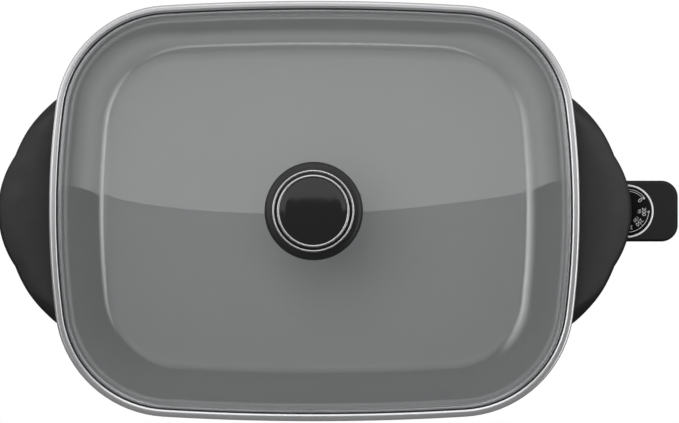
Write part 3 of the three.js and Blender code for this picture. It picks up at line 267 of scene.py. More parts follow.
def glowing_strip(name, glow, middle, reach):
    """An upright oval of light; it stands across the direction in which its reach is nothing."""
    across = Vector((reach[0], reach[1], 0))
    up = Vector((0, 0, reach[2]))
    middle = Vector(middle) + Vector((pan_centre.x, 0, 0))
    corners = [middle + across * a + up * b for a, b in ((-1, -1), (1, -1), (1, 1), (-1, 1))]
    reflected(name, glow, corners, middle, [r or 1 for r in reach])


glowing_strip("strip_left", 4.4, (-0.77, 0.14, 1.4), (0, 0.65, 0.6))
glowing_strip("strip_right", 4.2, (0.76, -0.1, 1.0), (0, 0.65, 0.5))
glowing_strip("strip_rear", 4.2, (0, 0.77, 1.45), (0.75, 0, 0.5))

# Pan
# Die-cast aluminium with a grey non-stick coating: drafted walls, a stepped rim that carries the lid,
# a rib under the floor that holds the element, a boss for its ends and four lugs for the handles.
rim_half_length = (band_high.x - band_low.x) / 2
rim_half_width = (band_high.y - band_low.y) / 2
long_edge_bow = 1.9
end_edge_bow = 0.625
corner_radius = 0.087
end_steps = 6
corner_steps = 18
long_steps = 10
pan_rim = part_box("pan")[1].z
pan_floor = pan_rim - 0.065
pan_under = pan_floor - 0.004
pan_wall = 0.0032
wall_top_inset = 0.012
wall_foot_inset = 0.0265
rim_inset = 0.0012
rim_thickness = 0.0035
shelf_inset = 0.008
step_depth = 0.0038
plug_height = 0.027
element_half_length = 0.122
element_half_width = 0.082
element_corner = 0.036
rib_half_width = 0.0075
rib_taper = 0.72
rib_edge = 0.001
pin_aside = 0.011
boss_end = 0.178
boss_length = 0.05
boss_half_width = 0.022
boss_below = 0.011
boss_edge = 0.0018
rod_radius = 0.0032
rod_reach = 0.071
lug_place = Vector((0.197, 0.045))
lug_radius = 0.007
lug_thickness = 0.006
handle_crown = 0.0035
handle_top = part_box("right_handle")[1].z - handle_crown
lug_top = handle_top - 0.014
lug_hole = 0.0023
element_radius = 0.004
fit = 0.0003
wall_top = pan_rim - 0.0065
wall_foot = pan_under + 0.0101
floor_fillet = 0.006
under_fillet = 0.0095
ledge_fillet = 0.0015
step_fillet = 0.0018
step_slope = 0.0004
rim_fillet = 0.0006
pan_under_flat = 0.044
pan_floor_flat = 0.05
lug_edge = 0.0008
grain_depth = 0.0001
smooth_angle = math.radians(32)


def arc_frame(half_length, half_width, long_bow, end_bow, corner):
    """Centres of the end, corner and long arcs of a quarter, and the angles where they meet."""
    end = Vector((half_length - end_bow, 0))
    long_ = Vector((0, half_width - long_bow))
    between = long_ - end
    apart = between.length
    along = ((end_bow - corner) ** 2 - (long_bow - corner) ** 2 + apart**2) / (2 * apart)
    aside = math.sqrt((end_bow - corner) ** 2 - along**2)
    unit = between / apart
    middle = end + unit * along + Vector((-unit.y, unit.x)) * aside
    end_angle = math.atan2(middle.y - end.y, middle.x - end.x)
    long_angle = math.atan2(middle.y - long_.y, middle.x - long_.x)
    return end, middle, long_, end_angle, long_angle


def run_to(bm, last, x, y):
    """Draws a straight run from the last point of an outline."""
    point = bm.verts.new((x, y, last.co.z))
    bm.edges.new((last, point))
    return point


def points_among(made):
    """The vertices among what an operator made."""
    return [g for g in made if isinstance(g, bmesh.types.BMVert)]


def turn_about(bm, last, x, y, angle, steps):
    """Draws an arc from the last point of an outline about a centre."""
    turned = bmesh.ops.spin(
        bm, geom=[last], cent=(x, y, last.co.z), axis=(0, 0, 1), angle=angle, steps=steps
    )
    return points_among(turned["geom_last"])[0]


def mirrored(bm, *axes):
    for axis in axes:
        bmesh.ops.mirror(bm, geom=bm.verts[:] + bm.edges[:] + bm.faces[:], axis=axis, merge_dist=1e-6)
    bmesh.ops.remove_doubles(bm, verts=bm.verts, dist=1e-6)


def mark_outward(bm):
    """Each point of a ring about the origin remembers which way is outwards."""
    outward = bm.verts.layers.float_vector.new("outward")
    for v in bm.verts:
        total = Vector()
        for e in v.link_edges:
            along = e.other_vert(v).co - v.co
            side = Vector((along.y, -along.x, 0)).normalized()
            total += side if side.dot(v.co) > 0 else -side
        v[outward] = total.normalized()


def bowed_ring(bm, half_length, half_width, long_bow, end_bow, corner, z):
    """Four bowed edges and round corners, drawn as a quarter and mirrored twice."""
    arcs = arc_frame(half_length, half_width, long_bow, end_bow, corner)
    end, middle, long_, end_angle, long_angle = arcs
    last = bm.verts.new((half_length, 0, z))
    last = turn_about(bm, last, end.x, end.y, end_angle, end_steps)
    last = turn_about(bm, last, middle.x, middle.y, long_angle - end_angle, corner_steps)
    turn_about(bm, last, long_.x, long_.y, math.pi / 2 - long_angle, long_steps)
    mirrored(bm, "X", "Y")


def rim_ring(bm, inset, z):
    """The band's outline drawn in by an inset."""
    bowed_ring(
        bm,
        rim_half_length - inset,
        rim_half_width - inset,
        long_edge_bow - inset,
        end_edge_bow - inset,
        corner_radius - inset,
        z,
    )
    mark_outward(bm)


def next_ring(bm, edges):
    """Extrudes a ring of edges in place, and returns the new points and edges."""
    made = bmesh.ops.extrude_edge_only(bm, edges=edges)["geom"]
    points = points_among(made)
    fresh = set(points)
    ring = [g for g in made if isinstance(g, bmesh.types.BMEdge) and all(v in fresh for v in g.verts)]
    return points, ring


def sweep(bm, draw_ring, profile):
    """Carries an outline along a profile of (inset, height) pairs, and returns its rings of edges."""
    inset, z = profile[0]
    draw_ring(bm, inset, z)
    rings = [bm.edges[:]]
    outward = bm.verts.layers.float_vector["outward"]
    for next_inset, next_z in profile[1:]:
        points, ring = next_ring(bm, rings[-1])
        for v in points:
            v.co += v[outward] * (inset - next_inset)
            v.co.z = next_z
        inset = next_inset
        rings.append(ring)
    return rings


def close_ring(bm, ring, border):
    """Fills a ring with a flat face inside a narrow border, which keeps the shading flat."""
    face = bmesh.ops.contextual_create(bm, geom=ring)["faces"][0]
    bmesh.ops.inset_region(bm, faces=[face], thickness=border, use_even_offset=True)


def soften(bm, edges, radius, segments=3):
    bmesh.ops.bevel(
        bm,
        geom=edges,
        offset=radius,
        offset_type="OFFSET",
        segments=segments,
        profile=0.5,
        affect="EDGES",
        clamp_overlap=True,
        material=-1,
    )


def sharp_edges(bm, least_degrees=30):
    least = math.radians(least_degrees)
    return [e for e in bm.edges if len(e.link_faces) == 2 and e.calc_face_angle(0) > least]


def edges_along(bm, axis, least):
    """Edges that reach further along an axis than a length."""
    return [e for e in bm.edges if abs(e.verts[0].co[axis] - e.verts[1].co[axis]) > least]


def tidy(bm):
    bmesh.ops.remove_doubles(bm, verts=bm.verts, dist=1e-6)
    bmesh.ops.recalc_face_normals(bm, faces=bm.faces)


def block(low, high, rounding=0.0, segments=3):
    """A block between two corners, with its edges rounded."""
    bm = bmesh.new()
    bmesh.ops.create_cube(bm, size=1)
    size = Vector(high) - Vector(low)
    bmesh.ops.scale(bm, vec=size, verts=bm.verts)
    bmesh.ops.translate(bm, vec=(Vector(high) + Vector(low)) / 2, verts=bm.verts)
    if rounding:
        soften(bm, bm.edges[:], rounding, segments)
    return bm


def turn(profile, sides=48, segments=3):
    """Turns (radius, height) points about Z; a third number rounds the edge at its point."""
    bm = bmesh.new()
    points = [bm.verts.new((point[0], 0, point[1])) for point in profile]
    lines = [bm.edges.new(pair) for pair in zip(points, points[1:])]
    if profile[0][0] > 0:
        lines.append(bm.edges.new((points[-1], points[0])))
    bmesh.ops.spin(
        bm,
        geom=points + lines,
        cent=(0, 0, 0),
        axis=(0, 0, 1),
        angle=2 * math.pi,
        steps=sides,
        use_merge=True,
        use_duplicate=False,
    )
    tidy(bm)
    close = 1e-5
    for point in profile:
        if len(point) < 3:
            continue
        radius, height, rounding = point
        ring = [
            e
            for e in bm.edges
            if all(abs(v.co.xy.length - radius) < close and abs(v.co.z - height) < close for v in e.verts)
        ]
        soften(bm, ring, rounding, segments)
    return bm


def placed(bm, matrix):
    bmesh.ops.transform(bm, matrix=matrix, verts=bm.verts)
    return bm


def gathered(*parts):
    """Puts several meshes into one bmesh."""
    whole = bmesh.new()
    for part in parts:
        mesh = bpy.data.meshes.new("part")
        part.to_mesh(mesh)
        part.free()
        whole.from_mesh(mesh)
        bpy.data.meshes.remove(mesh)
    return whole


def combine(bm, *steps):
    """Joins, cuts or crosses a mesh with others in turn, and returns the result as a bmesh."""
    piece = object_from("piece", bm)
    for operation, tool_bm in steps:
        tool = object_from("tool", tool_bm)
        step = piece.modifiers.new("step", "BOOLEAN")
        step.operation = operation
        step.solver = "EXACT"
        step.object = tool
        graph = bpy.context.evaluated_depsgraph_get()
        done = bpy.data.meshes.new_from_object(piece.evaluated_get(graph))
        piece.modifiers.clear()
        old = piece.data
        piece.data = done
        bpy.data.meshes.remove(old)
        bpy.data.objects.remove(tool)
    result = bmesh.new()
    result.from_mesh(piece.data)
    bpy.data.objects.remove(piece)
    bmesh.ops.dissolve_degenerate(result, dist=1e-6, edges=result.edges)
    return result


def finish_piece(name, bm, material, body, slot, *nodes):
    """Gives a finished mesh its object, paints it, hangs it on the body it rides on, and hides the frame's
    parts it takes the place of.
    """
    piece = object_from(name, bm)
    piece.data.materials.append(material)
    piece.data.shade_smooth()
    piece.data.set_sharp_from_angle(angle=smooth_angle)
    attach(piece, body)
    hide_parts(*nodes)


def new_group(name, inputs, output):
    """An empty shader node group with named number inputs and one number output."""
    group = bpy.data.node_groups.new(name, "ShaderNodeTree")
    for label, value in inputs.items():
        socket = group.interface.new_socket(label, in_out="INPUT", socket_type="NodeSocketFloat")
        socket.default_value = value
    group.interface.new_socket(output, in_out="OUTPUT", socket_type="NodeSocketFloat")
    return group, group.nodes.new("NodeGroupInput"), group.nodes.new("NodeGroupOutput")


def add_noise(group, entry, detail):
    coordinates = group.nodes.new("ShaderNodeTexCoord")
    noise = group.nodes.new("ShaderNodeTexNoise")
    noise.inputs["Detail"].default_value = detail
    group.links.new(coordinates.outputs["Object"], noise.inputs["Vector"])
    group.links.new(entry.outputs["Scale"], noise.inputs["Scale"])
    return noise


def uneven_group():
    """A soft patchy value between Low and High, for a colour or finish that isn't quite even."""
    group, entry, end = new_group("uneven", {"Scale": 60.0, "Low": 0.3, "High": 0.5}, "Value")
    noise = add_noise(group, entry, 4).outputs["Fac"]
    value = spread_node(group, noise, 0.3, 0.7, entry.outputs["Low"], entry.outputs["High"])
    group.links.new(value, end.inputs["Value"])
    return group


def grain_group():
    """A fine height pattern, as on moulded plastic or a sprayed coating."""
    group, entry, end = new_group("grain", {"Scale": 1500.0, "Height": 1.0}, "Height")
    noise = add_noise(group, entry, 2).outputs["Fac"]
    height = number_node(group, "MULTIPLY", noise, entry.outputs["Height"])
    group.links.new(height, end.inputs["Height"])
    return group


uneven = uneven_group()
grain = grain_group()


def use_group(material, group, **values):
    node = material.node_tree.nodes.new("ShaderNodeGroup")
    node.node_tree = group
    for label, value in values.items():
        node.inputs[label].default_value = value
    return node


def vary_roughness(material, low, high, scale):
    """A finish that wanders between two roughnesses."""
    node = use_group(material, uneven, Scale=scale, Low=low, High=high)
    shader = material.node_tree.nodes["Principled BSDF"]
    material.node_tree.links.new(node.outputs["Value"], shader.inputs["Roughness"])


def vary_color(material, dark, light, scale):
    """Colour that wanders between two tones."""
    tree = material.node_tree
    node = use_group(material, uneven, Scale=scale, Low=0.0, High=1.0)
    mix = tree.nodes.new("ShaderNodeMix")
    mix.data_type = "RGBA"
    mix.inputs["A"].default_value = (*dark, 1)
    mix.inputs["B"].default_value = (*light, 1)
    tree.links.new(node.outputs["Value"], mix.inputs["Factor"])
    tree.links.new(mix.outputs["Result"], tree.nodes["Principled BSDF"].inputs["Base Color"])


def add_grain(material, scale, strength):
    tree = material.node_tree
    node = use_group(material, grain, Scale=scale, Height=1.0)
    bump = tree.nodes.new("ShaderNodeBump")
    bump.inputs["Strength"].default_value = strength
    bump.inputs["Distance"].default_value = grain_depth
    tree.links.new(node.outputs["Height"], bump.inputs["Height"])
    tree.links.new(bump.outputs["Normal"], tree.nodes["Principled BSDF"].inputs["Normal"])


coating = new_material("non_stick_coating", (0.3, 0.3, 0.302), 0.45)
vary_color(coating, (0.298, 0.298, 0.3), (0.328, 0.328, 0.33), 900.0)
vary_roughness(coating, 0.4, 0.52, 40.0)
add_grain(coating, 2200.0, 0.12)


def wall_inset(z):
    """How far the outside of the pan's wall stands in at a height."""
    fall = (wall_top - z) / (wall_top - wall_foot)
    return wall_top_inset + (wall_foot_inset - wall_top_inset) * fall


def pan_shell():
    floor_corner = wall_inset(pan_floor) + pan_wall
    profile = [
        (pan_under_flat, pan_under),
        (wall_inset(pan_under), pan_under),
        (wall_inset(wall_top), wall_top),
        (wall_top_inset - 0.002, pan_rim - rim_thickness - fit),
        (rim_inset, pan_rim - rim_thickness),
        (rim_inset, pan_rim),
        (shelf_inset, pan_rim),
        (shelf_inset + fit, pan_rim - step_depth),
        (wall_inset(pan_rim) + pan_wall, pan_rim - step_depth - step_slope),
        (floor_corner, pan_floor),
        (pan_floor_flat, pan_floor),
    ]
    bm = bmesh.new()
    rings = sweep(bm, rim_ring, profile)
    close_ring(bm, rings[0], 0.003)
    close_ring(bm, rings[-1], 0.02)
    tidy(bm)
    soften(bm, rings[9], floor_fillet, 8)
    soften(bm, rings[1], under_fillet, 8)
    soften(bm, rings[3], ledge_fillet)
    soften(bm, rings[8], step_fillet)
    soften(bm, rings[4] + rings[5] + rings[6], rim_fillet, 2)
    return bm


def walk(first):
    """The points of a chain of edges in order from its first."""
    order = [first]
    while True:
        onward = [e.other_vert(order[-1]) for e in order[-1].link_edges]
        onward = [v for v in onward if v not in order[-2:]]
        if not onward:
            return order
        order.append(onward[0])
        if len(order) > 2 and onward[0] == first:
            return order


def draw_element(bm, start, z):
    """The element's centre line, level, from one lead round under the floor to the other."""
    a, b, r = element_half_length, element_half_width, element_corner
    bend = (b - pin_aside) / 3
    quarter = math.pi / 2
    first = bm.verts.new((start, pin_aside, z))
    last = run_to(bm, first, a + bend, pin_aside)
    last = turn_about(bm, last, a + bend, pin_aside + bend, -quarter, 8)
    last = run_to(bm, last, a, b - r)
    last = turn_about(bm, last, a - r, b - r, quarter, 12)
    last = run_to(bm, last, r - a, b)
    last = turn_about(bm, last, r - a, b - r, quarter, 12)
    run_to(bm, last, -a, 0)
    bmesh.ops.mirror(bm, geom=bm.verts[:] + bm.edges[:], axis="Y", merge_dist=1e-6)
    bmesh.ops.remove_doubles(bm, verts=bm.verts, dist=1e-6)
    aside = bm.verts.layers.float_vector.new("outward")
    ends = [v for v in bm.verts if len(v.link_edges) == 1]
    order = walk(max(ends, key=lambda v: v.co.y))
    for before, v, after in zip([order[0]] + order, order, order[1:] + [order[-1]]):
        way = (after.co - before.co).normalized()
        v[aside] = (way.y, -way.x, 0)


def along_element(section, start):
    """A bar of one section, (aside, height) pairs, along the element's line."""
    bm = bmesh.new()
    draw_element(bm, start, section[0][1])
    outward = bm.verts.layers.float_vector["outward"]
    for v in bm.verts:
        v.co += v[outward] * section[0][0]
    chains = [bm.edges[:]]
    for (aside, _), (next_aside, next_z) in zip(section, section[1:]):
        points, chain = next_ring(bm, chains[-1])
        for v in points:
            v.co += v[outward] * (next_aside - aside)
            v.co.z = next_z
        chains.append(chain)
    bmesh.ops.bridge_loops(bm, edges=chains[0] + chains[-1])
    bmesh.ops.holes_fill(bm, edges=bm.edges, sides=0)
    tidy(bm)
    return bm


def circle_section(radius, middle_z, sides):
    turns = [2 * math.pi * i / sides for i in range(sides)]
    return [(radius * math.cos(t), middle_z + radius * math.sin(t)) for t in turns]


def along_x(bm, x, y, z):
    """Lays a turned piece along +X, with its origin at a place."""
    return placed(bm, Matrix.Translation((x, y, z)) @ Matrix.Rotation(math.pi / 2, 4, "Y"))


def peg(radius, low, high, x=0.0, y=0.0):
    """An upright round bar, mostly to cut a hole with."""
    bm = turn([(0, low), (radius, low), (radius, high), (0, high)], 32)
    return placed(bm, Matrix.Translation((x, y, 0)))


def rim_end_x(y, inset):
    """How far out the rim's end lies at a distance from the middle."""
    arcs = arc_frame(rim_half_length, rim_half_width, long_edge_bow, end_edge_bow, corner_radius)
    end, middle, _, end_angle, _ = arcs
    radius = end_edge_bow - inset
    if abs(y) <= radius * math.sin(end_angle):
        return end.x + math.sqrt(radius**2 - y**2)
    return middle.x + math.sqrt((corner_radius - inset) ** 2 - (abs(y) - middle.y) ** 2)


def lug(side_x, side_y):
    bm = bmesh.new()
    root = rim_end_x(lug_place.y, wall_inset(lug_top) + pan_wall / 2)
    last = bm.verts.new((root, lug_place.y - lug_radius, lug_top - lug_thickness))
    first = last
    last = run_to(bm, last, lug_place.x, lug_place.y - lug_radius)
    last = turn_about(bm, last, lug_place.x, lug_place.y, math.pi, 16)
    last = run_to(bm, last, root, lug_place.y + lug_radius)
    bm.edges.new((last, first))
    face = bmesh.ops.contextual_create(bm, geom=bm.edges[:])["faces"]
    lifted = points_among(bmesh.ops.extrude_face_region(bm, geom=face)["geom"])
    bmesh.ops.translate(bm, vec=(0, 0, lug_thickness), verts=lifted)
    for v in bm.verts:
        if v.co.x < root + 0.0001:
            v.co.x = rim_end_x(v.co.y, wall_inset(v.co.z) + pan_wall / 2)
    tidy(bm)
    clear = [e for e in sharp_edges(bm, 60) if max(v.co.x for v in e.verts) > root + pan_wall]
    soften(bm, clear, lug_edge, 2)
    bmesh.ops.scale(bm, vec=(side_x, side_y, 1), verts=bm.verts)
    bmesh.ops.recalc_face_normals(bm, faces=bm.faces)
    return bm


rib_top = pan_under + 0.002
rib_bottom = plug_height
rib = along_element(
    [
        (-rib_half_width, rib_top),
        (-rib_half_width * rib_taper, rib_bottom),
        (rib_half_width * rib_taper, rib_bottom),
        (rib_half_width, rib_top),
    ],
    boss_end - boss_length / 3,
)
soften(rib, [e for e in sharp_edges(rib, 40) if max(v.co.z for v in e.verts) < rib_top], rib_edge, 2)
boss = block(
    (boss_end - boss_length, -boss_half_width, plug_height - boss_below),
    (boss_end, boss_half_width, rib_top),
    boss_edge,
)
lugs = gathered(*[lug(x, y) for x in (1, -1) for y in (1, -1)])
groove = along_element(circle_section(element_radius + fit, plug_height, 16), boss_end + 0.01)
rod_well = along_x(peg(rod_radius + fit, -0.05, 0.002), boss_end, 0, plug_height)
lug_holes = gathered(
    *[peg(lug_hole, 0, pan_rim, x * lug_place.x, y * lug_place.y) for x in (1, -1) for y in (1, -1)]
)
pan_mesh = combine(
    pan_shell(),
    ("UNION", rib),
    ("UNION", boss),
    ("UNION", lugs),
    ("DIFFERENCE", groove),
    ("DIFFERENCE", rod_well),
    ("DIFFERENCE", lug_holes),
)
right_end = Matrix.Translation(pan_centre)
left_end = right_end @ Matrix.Rotation(math.pi, 4, "Z")
finish_piece("pan_casting", placed(pan_mesh, right_end), coating, "skillet", "pan_coating", "pan")

# Heating element, its pins and seals
# A steel tube pressed into the rib, darkened by heat. A nickel-plated pin leaves each end through a
# ceramic seal, and the control's sockets slide onto the pins.
element_end = boss_end + 0.005
pin_radius = 0.0024
pin_length = 0.0207
seal_radius = 0.0037
seal_length = 0.003
seal_bore = pin_radius + 0.0001
pin_start = element_end + fit

sheath = new_material("heat_stained_sheath", (0.13, 0.115, 0.1), 0.5, 0.8)
vary_color(sheath, (0.09, 0.08, 0.072), (0.17, 0.15, 0.125), 45.0)
vary_roughness(sheath, 0.38, 0.6, 120.0)
bright = new_material("nickel_plate", (0.62, 0.61, 0.58), 0.24, 1.0)
vary_roughness(bright, 0.18, 0.32, 400.0)
add_grain(bright, 3000.0, 0.03)
ceramic = new_material("ceramic", (0.7, 0.67, 0.58), 0.65)
vary_color(ceramic, (0.62, 0.59, 0.5), (0.75, 0.72, 0.64), 800.0)
add_grain(ceramic, 1800.0, 0.15)

tube = placed(along_element(circle_section(element_radius, plug_height, 20), element_end), right_end)
finish_piece("element_tube", tube, sheath, "skillet", "element_sheath", "heating_element")
for place, side in (("front", -1), ("rear", 1)):
    y = side * pin_aside
    pin = turn([(0, 0), (pin_radius, 0), (pin_radius, pin_length, 0.0014), (0, pin_length)], 32, 5)
    pin = placed(along_x(pin, pin_start, y, plug_height), right_end)
    finish_piece(f"pin_{place}", pin, bright, "skillet", "bright_steel", f"terminal_pin_{place}")
    seal_edge = (seal_radius, seal_length, 0.0008)
    seal = turn([(seal_bore, 0), (seal_radius, 0), seal_edge, (seal_bore, seal_length)], 32)
    seal = placed(along_x(seal, pin_start, y, plug_height), right_end)
    finish_piece(f"seal_{place}", seal, ceramic, "skillet", "ceramic_white", f"element_seal_{place}")

# Guard round the pins
# A box pressed from steel sheet, open towards the control, on the face of the boss. Two screws hold it.
guard_half_width = 0.023
guard_half_height = 0.013
guard_length = 0.0204
guard_sheet = 0.0016
guard_corner = 0.005
guard_screw_aside = 0.0176
guard_screw_drop = 0.0066
guard_fold = 0.002
guard_rod_hole = rod_radius + 0.0009
guard_pin_hole = 0.0046
small_screw_hole = 0.0018

pressed_steel = new_material("pressed_steel", (0.45, 0.45, 0.46), 0.38, 1.0)
vary_roughness(pressed_steel, 0.3, 0.45, 150.0)
add_grain(pressed_steel, 2500.0, 0.06)


def guard_box():
    bm = block(
        (0, -guard_half_width, -guard_half_height), (guard_length, guard_half_width, guard_half_height)
    )
    half = guard_length / 2
    soften(bm, edges_along(bm, 0, half), guard_corner, 6)
    soften(bm, [e for e in sharp_edges(bm) if max(v.co.x for v in e.verts) < half], guard_fold, 4)
    open_face = [f for f in bm.faces if f.calc_center_median().x > guard_length - 1e-5]
    bmesh.ops.delete(bm, geom=open_face, context="FACES_ONLY")
    bmesh.ops.recalc_face_normals(bm, faces=bm.faces)
    bmesh.ops.solidify(bm, geom=bm.faces[:], thickness=guard_sheet)
    through = (-0.003, 0.005)
    holes = [along_x(peg(guard_rod_hole, *through), 0, 0, 0)]
    for side in (-1, 1):
        holes.append(along_x(peg(guard_pin_hole, *through), 0, side * pin_aside, 0))
        screw_hole = peg(small_screw_hole, *through)
        holes.append(along_x(screw_hole, 0, side * guard_screw_aside, -guard_screw_drop))
    return combine(bm, ("DIFFERENCE", gathered(*holes)))


guard = placed(guard_box(), right_end @ Matrix.Translation((boss_end + fit, 0, plug_height)))
finish_piece("guard_box", guard, pressed_steel, "skillet", "guard_steel", "probe_guard")

# Screws
# Pan-head screws of plated steel. Each size is turned once and its cross recess cut, and copies of it
# hold the guard, the handles, the grip plates, the knob and the casing.
small_head = (0.0028, 0.0018)


def screw(shank, length, head, head_height):
    """A screw that points to +Z, with its head's underside at the origin."""
    body = turn(
        [
            (0, -head_height),
            (head * 0.62, -head_height, head_height * 0.25),
            (head, -head_height * 0.42, head_height * 0.3),
            (head, 0),
            (shank, 0),
            (shank, length),
            (0, length + shank / 2),
        ],
        36,
    )
    arm, width = head * 0.55, head * 0.15
    tools = []
    for turn_angle in (0, math.pi / 2):
        bar = block((-arm, -width, -head_height * 1.2), (arm, width, -head_height * 0.45))
        low = [v for v in bar.verts if v.co.z > -head_height]
        bmesh.ops.scale(bar, vec=(0.55, 0.7, 1), verts=low)
        tools.append(("DIFFERENCE", placed(bar, Matrix.Rotation(turn_angle, 4, "Z"))))
    return combine(body, *tools)


def drive(name, made, matrix, body, node):
    """Puts a copy of a screw in its place."""
    finish_piece(name, placed(made.copy(), matrix), bright, body, "bright_steel", node)


guard_screw = screw(0.0015, boss_length / 6, *small_head)
for place, side in (("front", -1), ("rear", 1)):
    spot = (boss_end + guard_sheet + 2 * fit, side * guard_screw_aside, plug_height - guard_screw_drop)
    facing = right_end @ Matrix.Translation(spot) @ Matrix.Rotation(-math.pi / 2, 4, "Y")
    drive(f"guard_fixing_{place}", guard_screw, facing, "skillet", f"guard_screw_{place}")

# Handles
# One black moulding at each end: a crowned crescent with a lip all round, hollow below, whose ends fall
# in a shoulder to two legs. A leg is a channel that opens towards the pan.
wing_reach = 0.237
wing_radius = 0.1182
grip_reach = 0.2422
grip_radius = 0.0753
handle_tip = 0.088
handle_inset = 0.0105
handle_wall = 0.0034
handle_edge = 0.003
lip_outside = 0.015
lip_inside = 0.01
shoulder_y = 0.07
shoulder_skew = 0.57
shoulder_fall = 1.15
shoulder_blend = 0.0056
leg_inner = 0.187
leg_near = 0.063
leg_far = 0.086
leg_taper = 0.76
leg_middle = Vector((rim_half_length - 0.0025, (leg_near + leg_far) / 2, 0))
leg_bottom = 0.0033
leg_floor = 0.005
leg_corner = 0.003
leg_inside_corner = 0.0015
leg_sole_rounding = 0.0012
leg_setback = 0.0009
leg_inside = leg_bottom + leg_floor
foot_stem = 0.0032
wing_centre = wing_reach - wing_radius
grip_centre = grip_reach - grip_radius

plastic = new_material("moulded_black", (0.0205, 0.0205, 0.0209), 0.44, 0.0, 0.3)
vary_color(plastic, (0.0165, 0.0165, 0.0169), (0.0195, 0.0195, 0.0199), 500.0)
vary_roughness(plastic, 0.42, 0.54, 70.0)
add_grain(plastic, 2600.0, 0.22)


def handle_reach(y):
    """The outer edge from above: a wide arc and a tighter one in the middle."""
    wing = wing_centre + math.sqrt(wing_radius**2 - y**2)
    if abs(y) >= grip_radius:
        return wing
    return max(wing, grip_centre + math.sqrt(grip_radius**2 - y**2))


def arcs_meet_y():
    apart = grip_centre - wing_centre
    x = (wing_radius**2 - grip_radius**2 + apart**2) / (2 * apart)
    return math.sqrt(wing_radius**2 - x**2)


def handle_height(x, y, across):
    """Height of the top: a crown across it, less the fall beyond the shoulder line."""
    past = abs(y) - shoulder_y + (x - rim_half_length) * shoulder_skew
    if past <= 0:
        eased = 0.0
    elif past < 2 * shoulder_blend:
        eased = past**2 / (4 * shoulder_blend)
    else:
        eased = past - shoulder_blend
    return handle_top + handle_crown * (1 - across**2) - shoulder_fall * eased


def spaced(share, segments, low, high, border):
    """A place between two ends for a share of the way, with a first and a last step of one width."""
    step = 1 / segments
    if share < step / 2:
        return low
    if share > 1 - step / 2:
        return high
    return low + border + (high - low - 2 * border) * (share - step) / (1 - 2 * step)


def handle_sheet(bm, drop=0.0, margin=0.0):
    """The top as a grid whose rows run outwards, with one row where the two arcs meet."""
    columns, rows = 14, 88
    border = handle_edge * 1.15
    meet = arcs_meet_y()
    tip = handle_tip - margin
    bmesh.ops.create_grid(bm, x_segments=columns, y_segments=rows, size=0.5)
    share = bm.verts.layers.float.new("share")
    for v in bm.verts:
        along = abs(v.co.y) * 2
        last = 1 - 2 / rows
        if along < 0.5:
            y = meet * along * 2
        elif along > last + 1 / rows:
            y = tip
        else:
            y = meet + (tip - border - meet) * (along - 0.5) / (last - 0.5)
        y = math.copysign(y, v.co.y)
        inner, outer = rim_end_x(y, handle_inset) + margin, handle_reach(y) - margin
        x = spaced(v.co.x + 0.5, columns, inner, outer, border)
        v[share] = (x - inner) / (outer - inner)
        v.co = (x, y, handle_height(x, y, v[share] * 2 - 1) - drop)
    return [e for e in bm.edges if e.is_boundary], share


def handle_solid():
    """The moulding before it is hollowed: the top, and a lip that is deeper outside."""
    bm = bmesh.new()
    edge, share = handle_sheet(bm)
    under = bmesh.ops.extrude_face_region(bm, geom=bm.faces[:])["geom"]
    for v in points_among(under):
        lip = lip_inside + (lip_outside - lip_inside) * v[share]
        v.co.z = handle_height(v.co.x, v.co.y, 1) - lip
    tidy(bm)
    soften(bm, [e for e in edge if e.is_valid], handle_edge, 5)
    return bm


def below_handle_top(drop, margin=0.0):
    """All that lies a little under the handle's top, down to below the table."""
    bm = bmesh.new()
    edge, _ = handle_sheet(bm, drop, margin)
    points, ring = next_ring(bm, edge)
    for v in points:
        v.co.z = -leg_floor
    bmesh.ops.contextual_create(bm, geom=ring)
    tidy(bm)
    return bm


def leg_prism(inset, low, high, inward=0.0):
    """A leg's plan, drawn in by an inset, from its narrow foot up to a height."""
    near, far = leg_near + inset, leg_far - inset
    bm = bmesh.new()
    edge = [near + (far - near) * share for share in (0, 0.25, 0.5, 0.75, 1)]
    outline = [(leg_inner - inward, near)]
    outline += [(handle_reach(y) - leg_setback - inset, y) for y in edge]
    outline += [(leg_inner - inward, far)]
    corners = [bm.verts.new((x, y, high)) for x, y in outline]
    bottom = bmesh.ops.contextual_create(bm, geom=corners)
    lowered = bmesh.ops.extrude_face_region(bm, geom=bottom["faces"])["geom"]
    for v in points_among(lowered):
        v.co = leg_middle + (v.co - leg_middle) * leg_taper
        v.co.z = low
    tidy(bm)
    upright = [e for e in edges_along(bm, 2, 0.01) if e.calc_face_angle(0) > math.radians(40)]
    soften(bm, upright, leg_inside_corner if inset else leg_corner, 4)
    if not inset:
        sole = [e for e in sharp_edges(bm, 60) if max(v.co.z for v in e.verts) < low + 1e-4]
        soften(bm, sole, leg_sole_rounding)
    return bm


def both_sides(make):
    """A shape and its mirror image across the middle of the handle."""
    other = make()
    bmesh.ops.scale(other, vec=(1, -1, 1), verts=other.verts)
    bmesh.ops.reverse_faces(other, faces=other.faces)
    return gathered(make(), other)


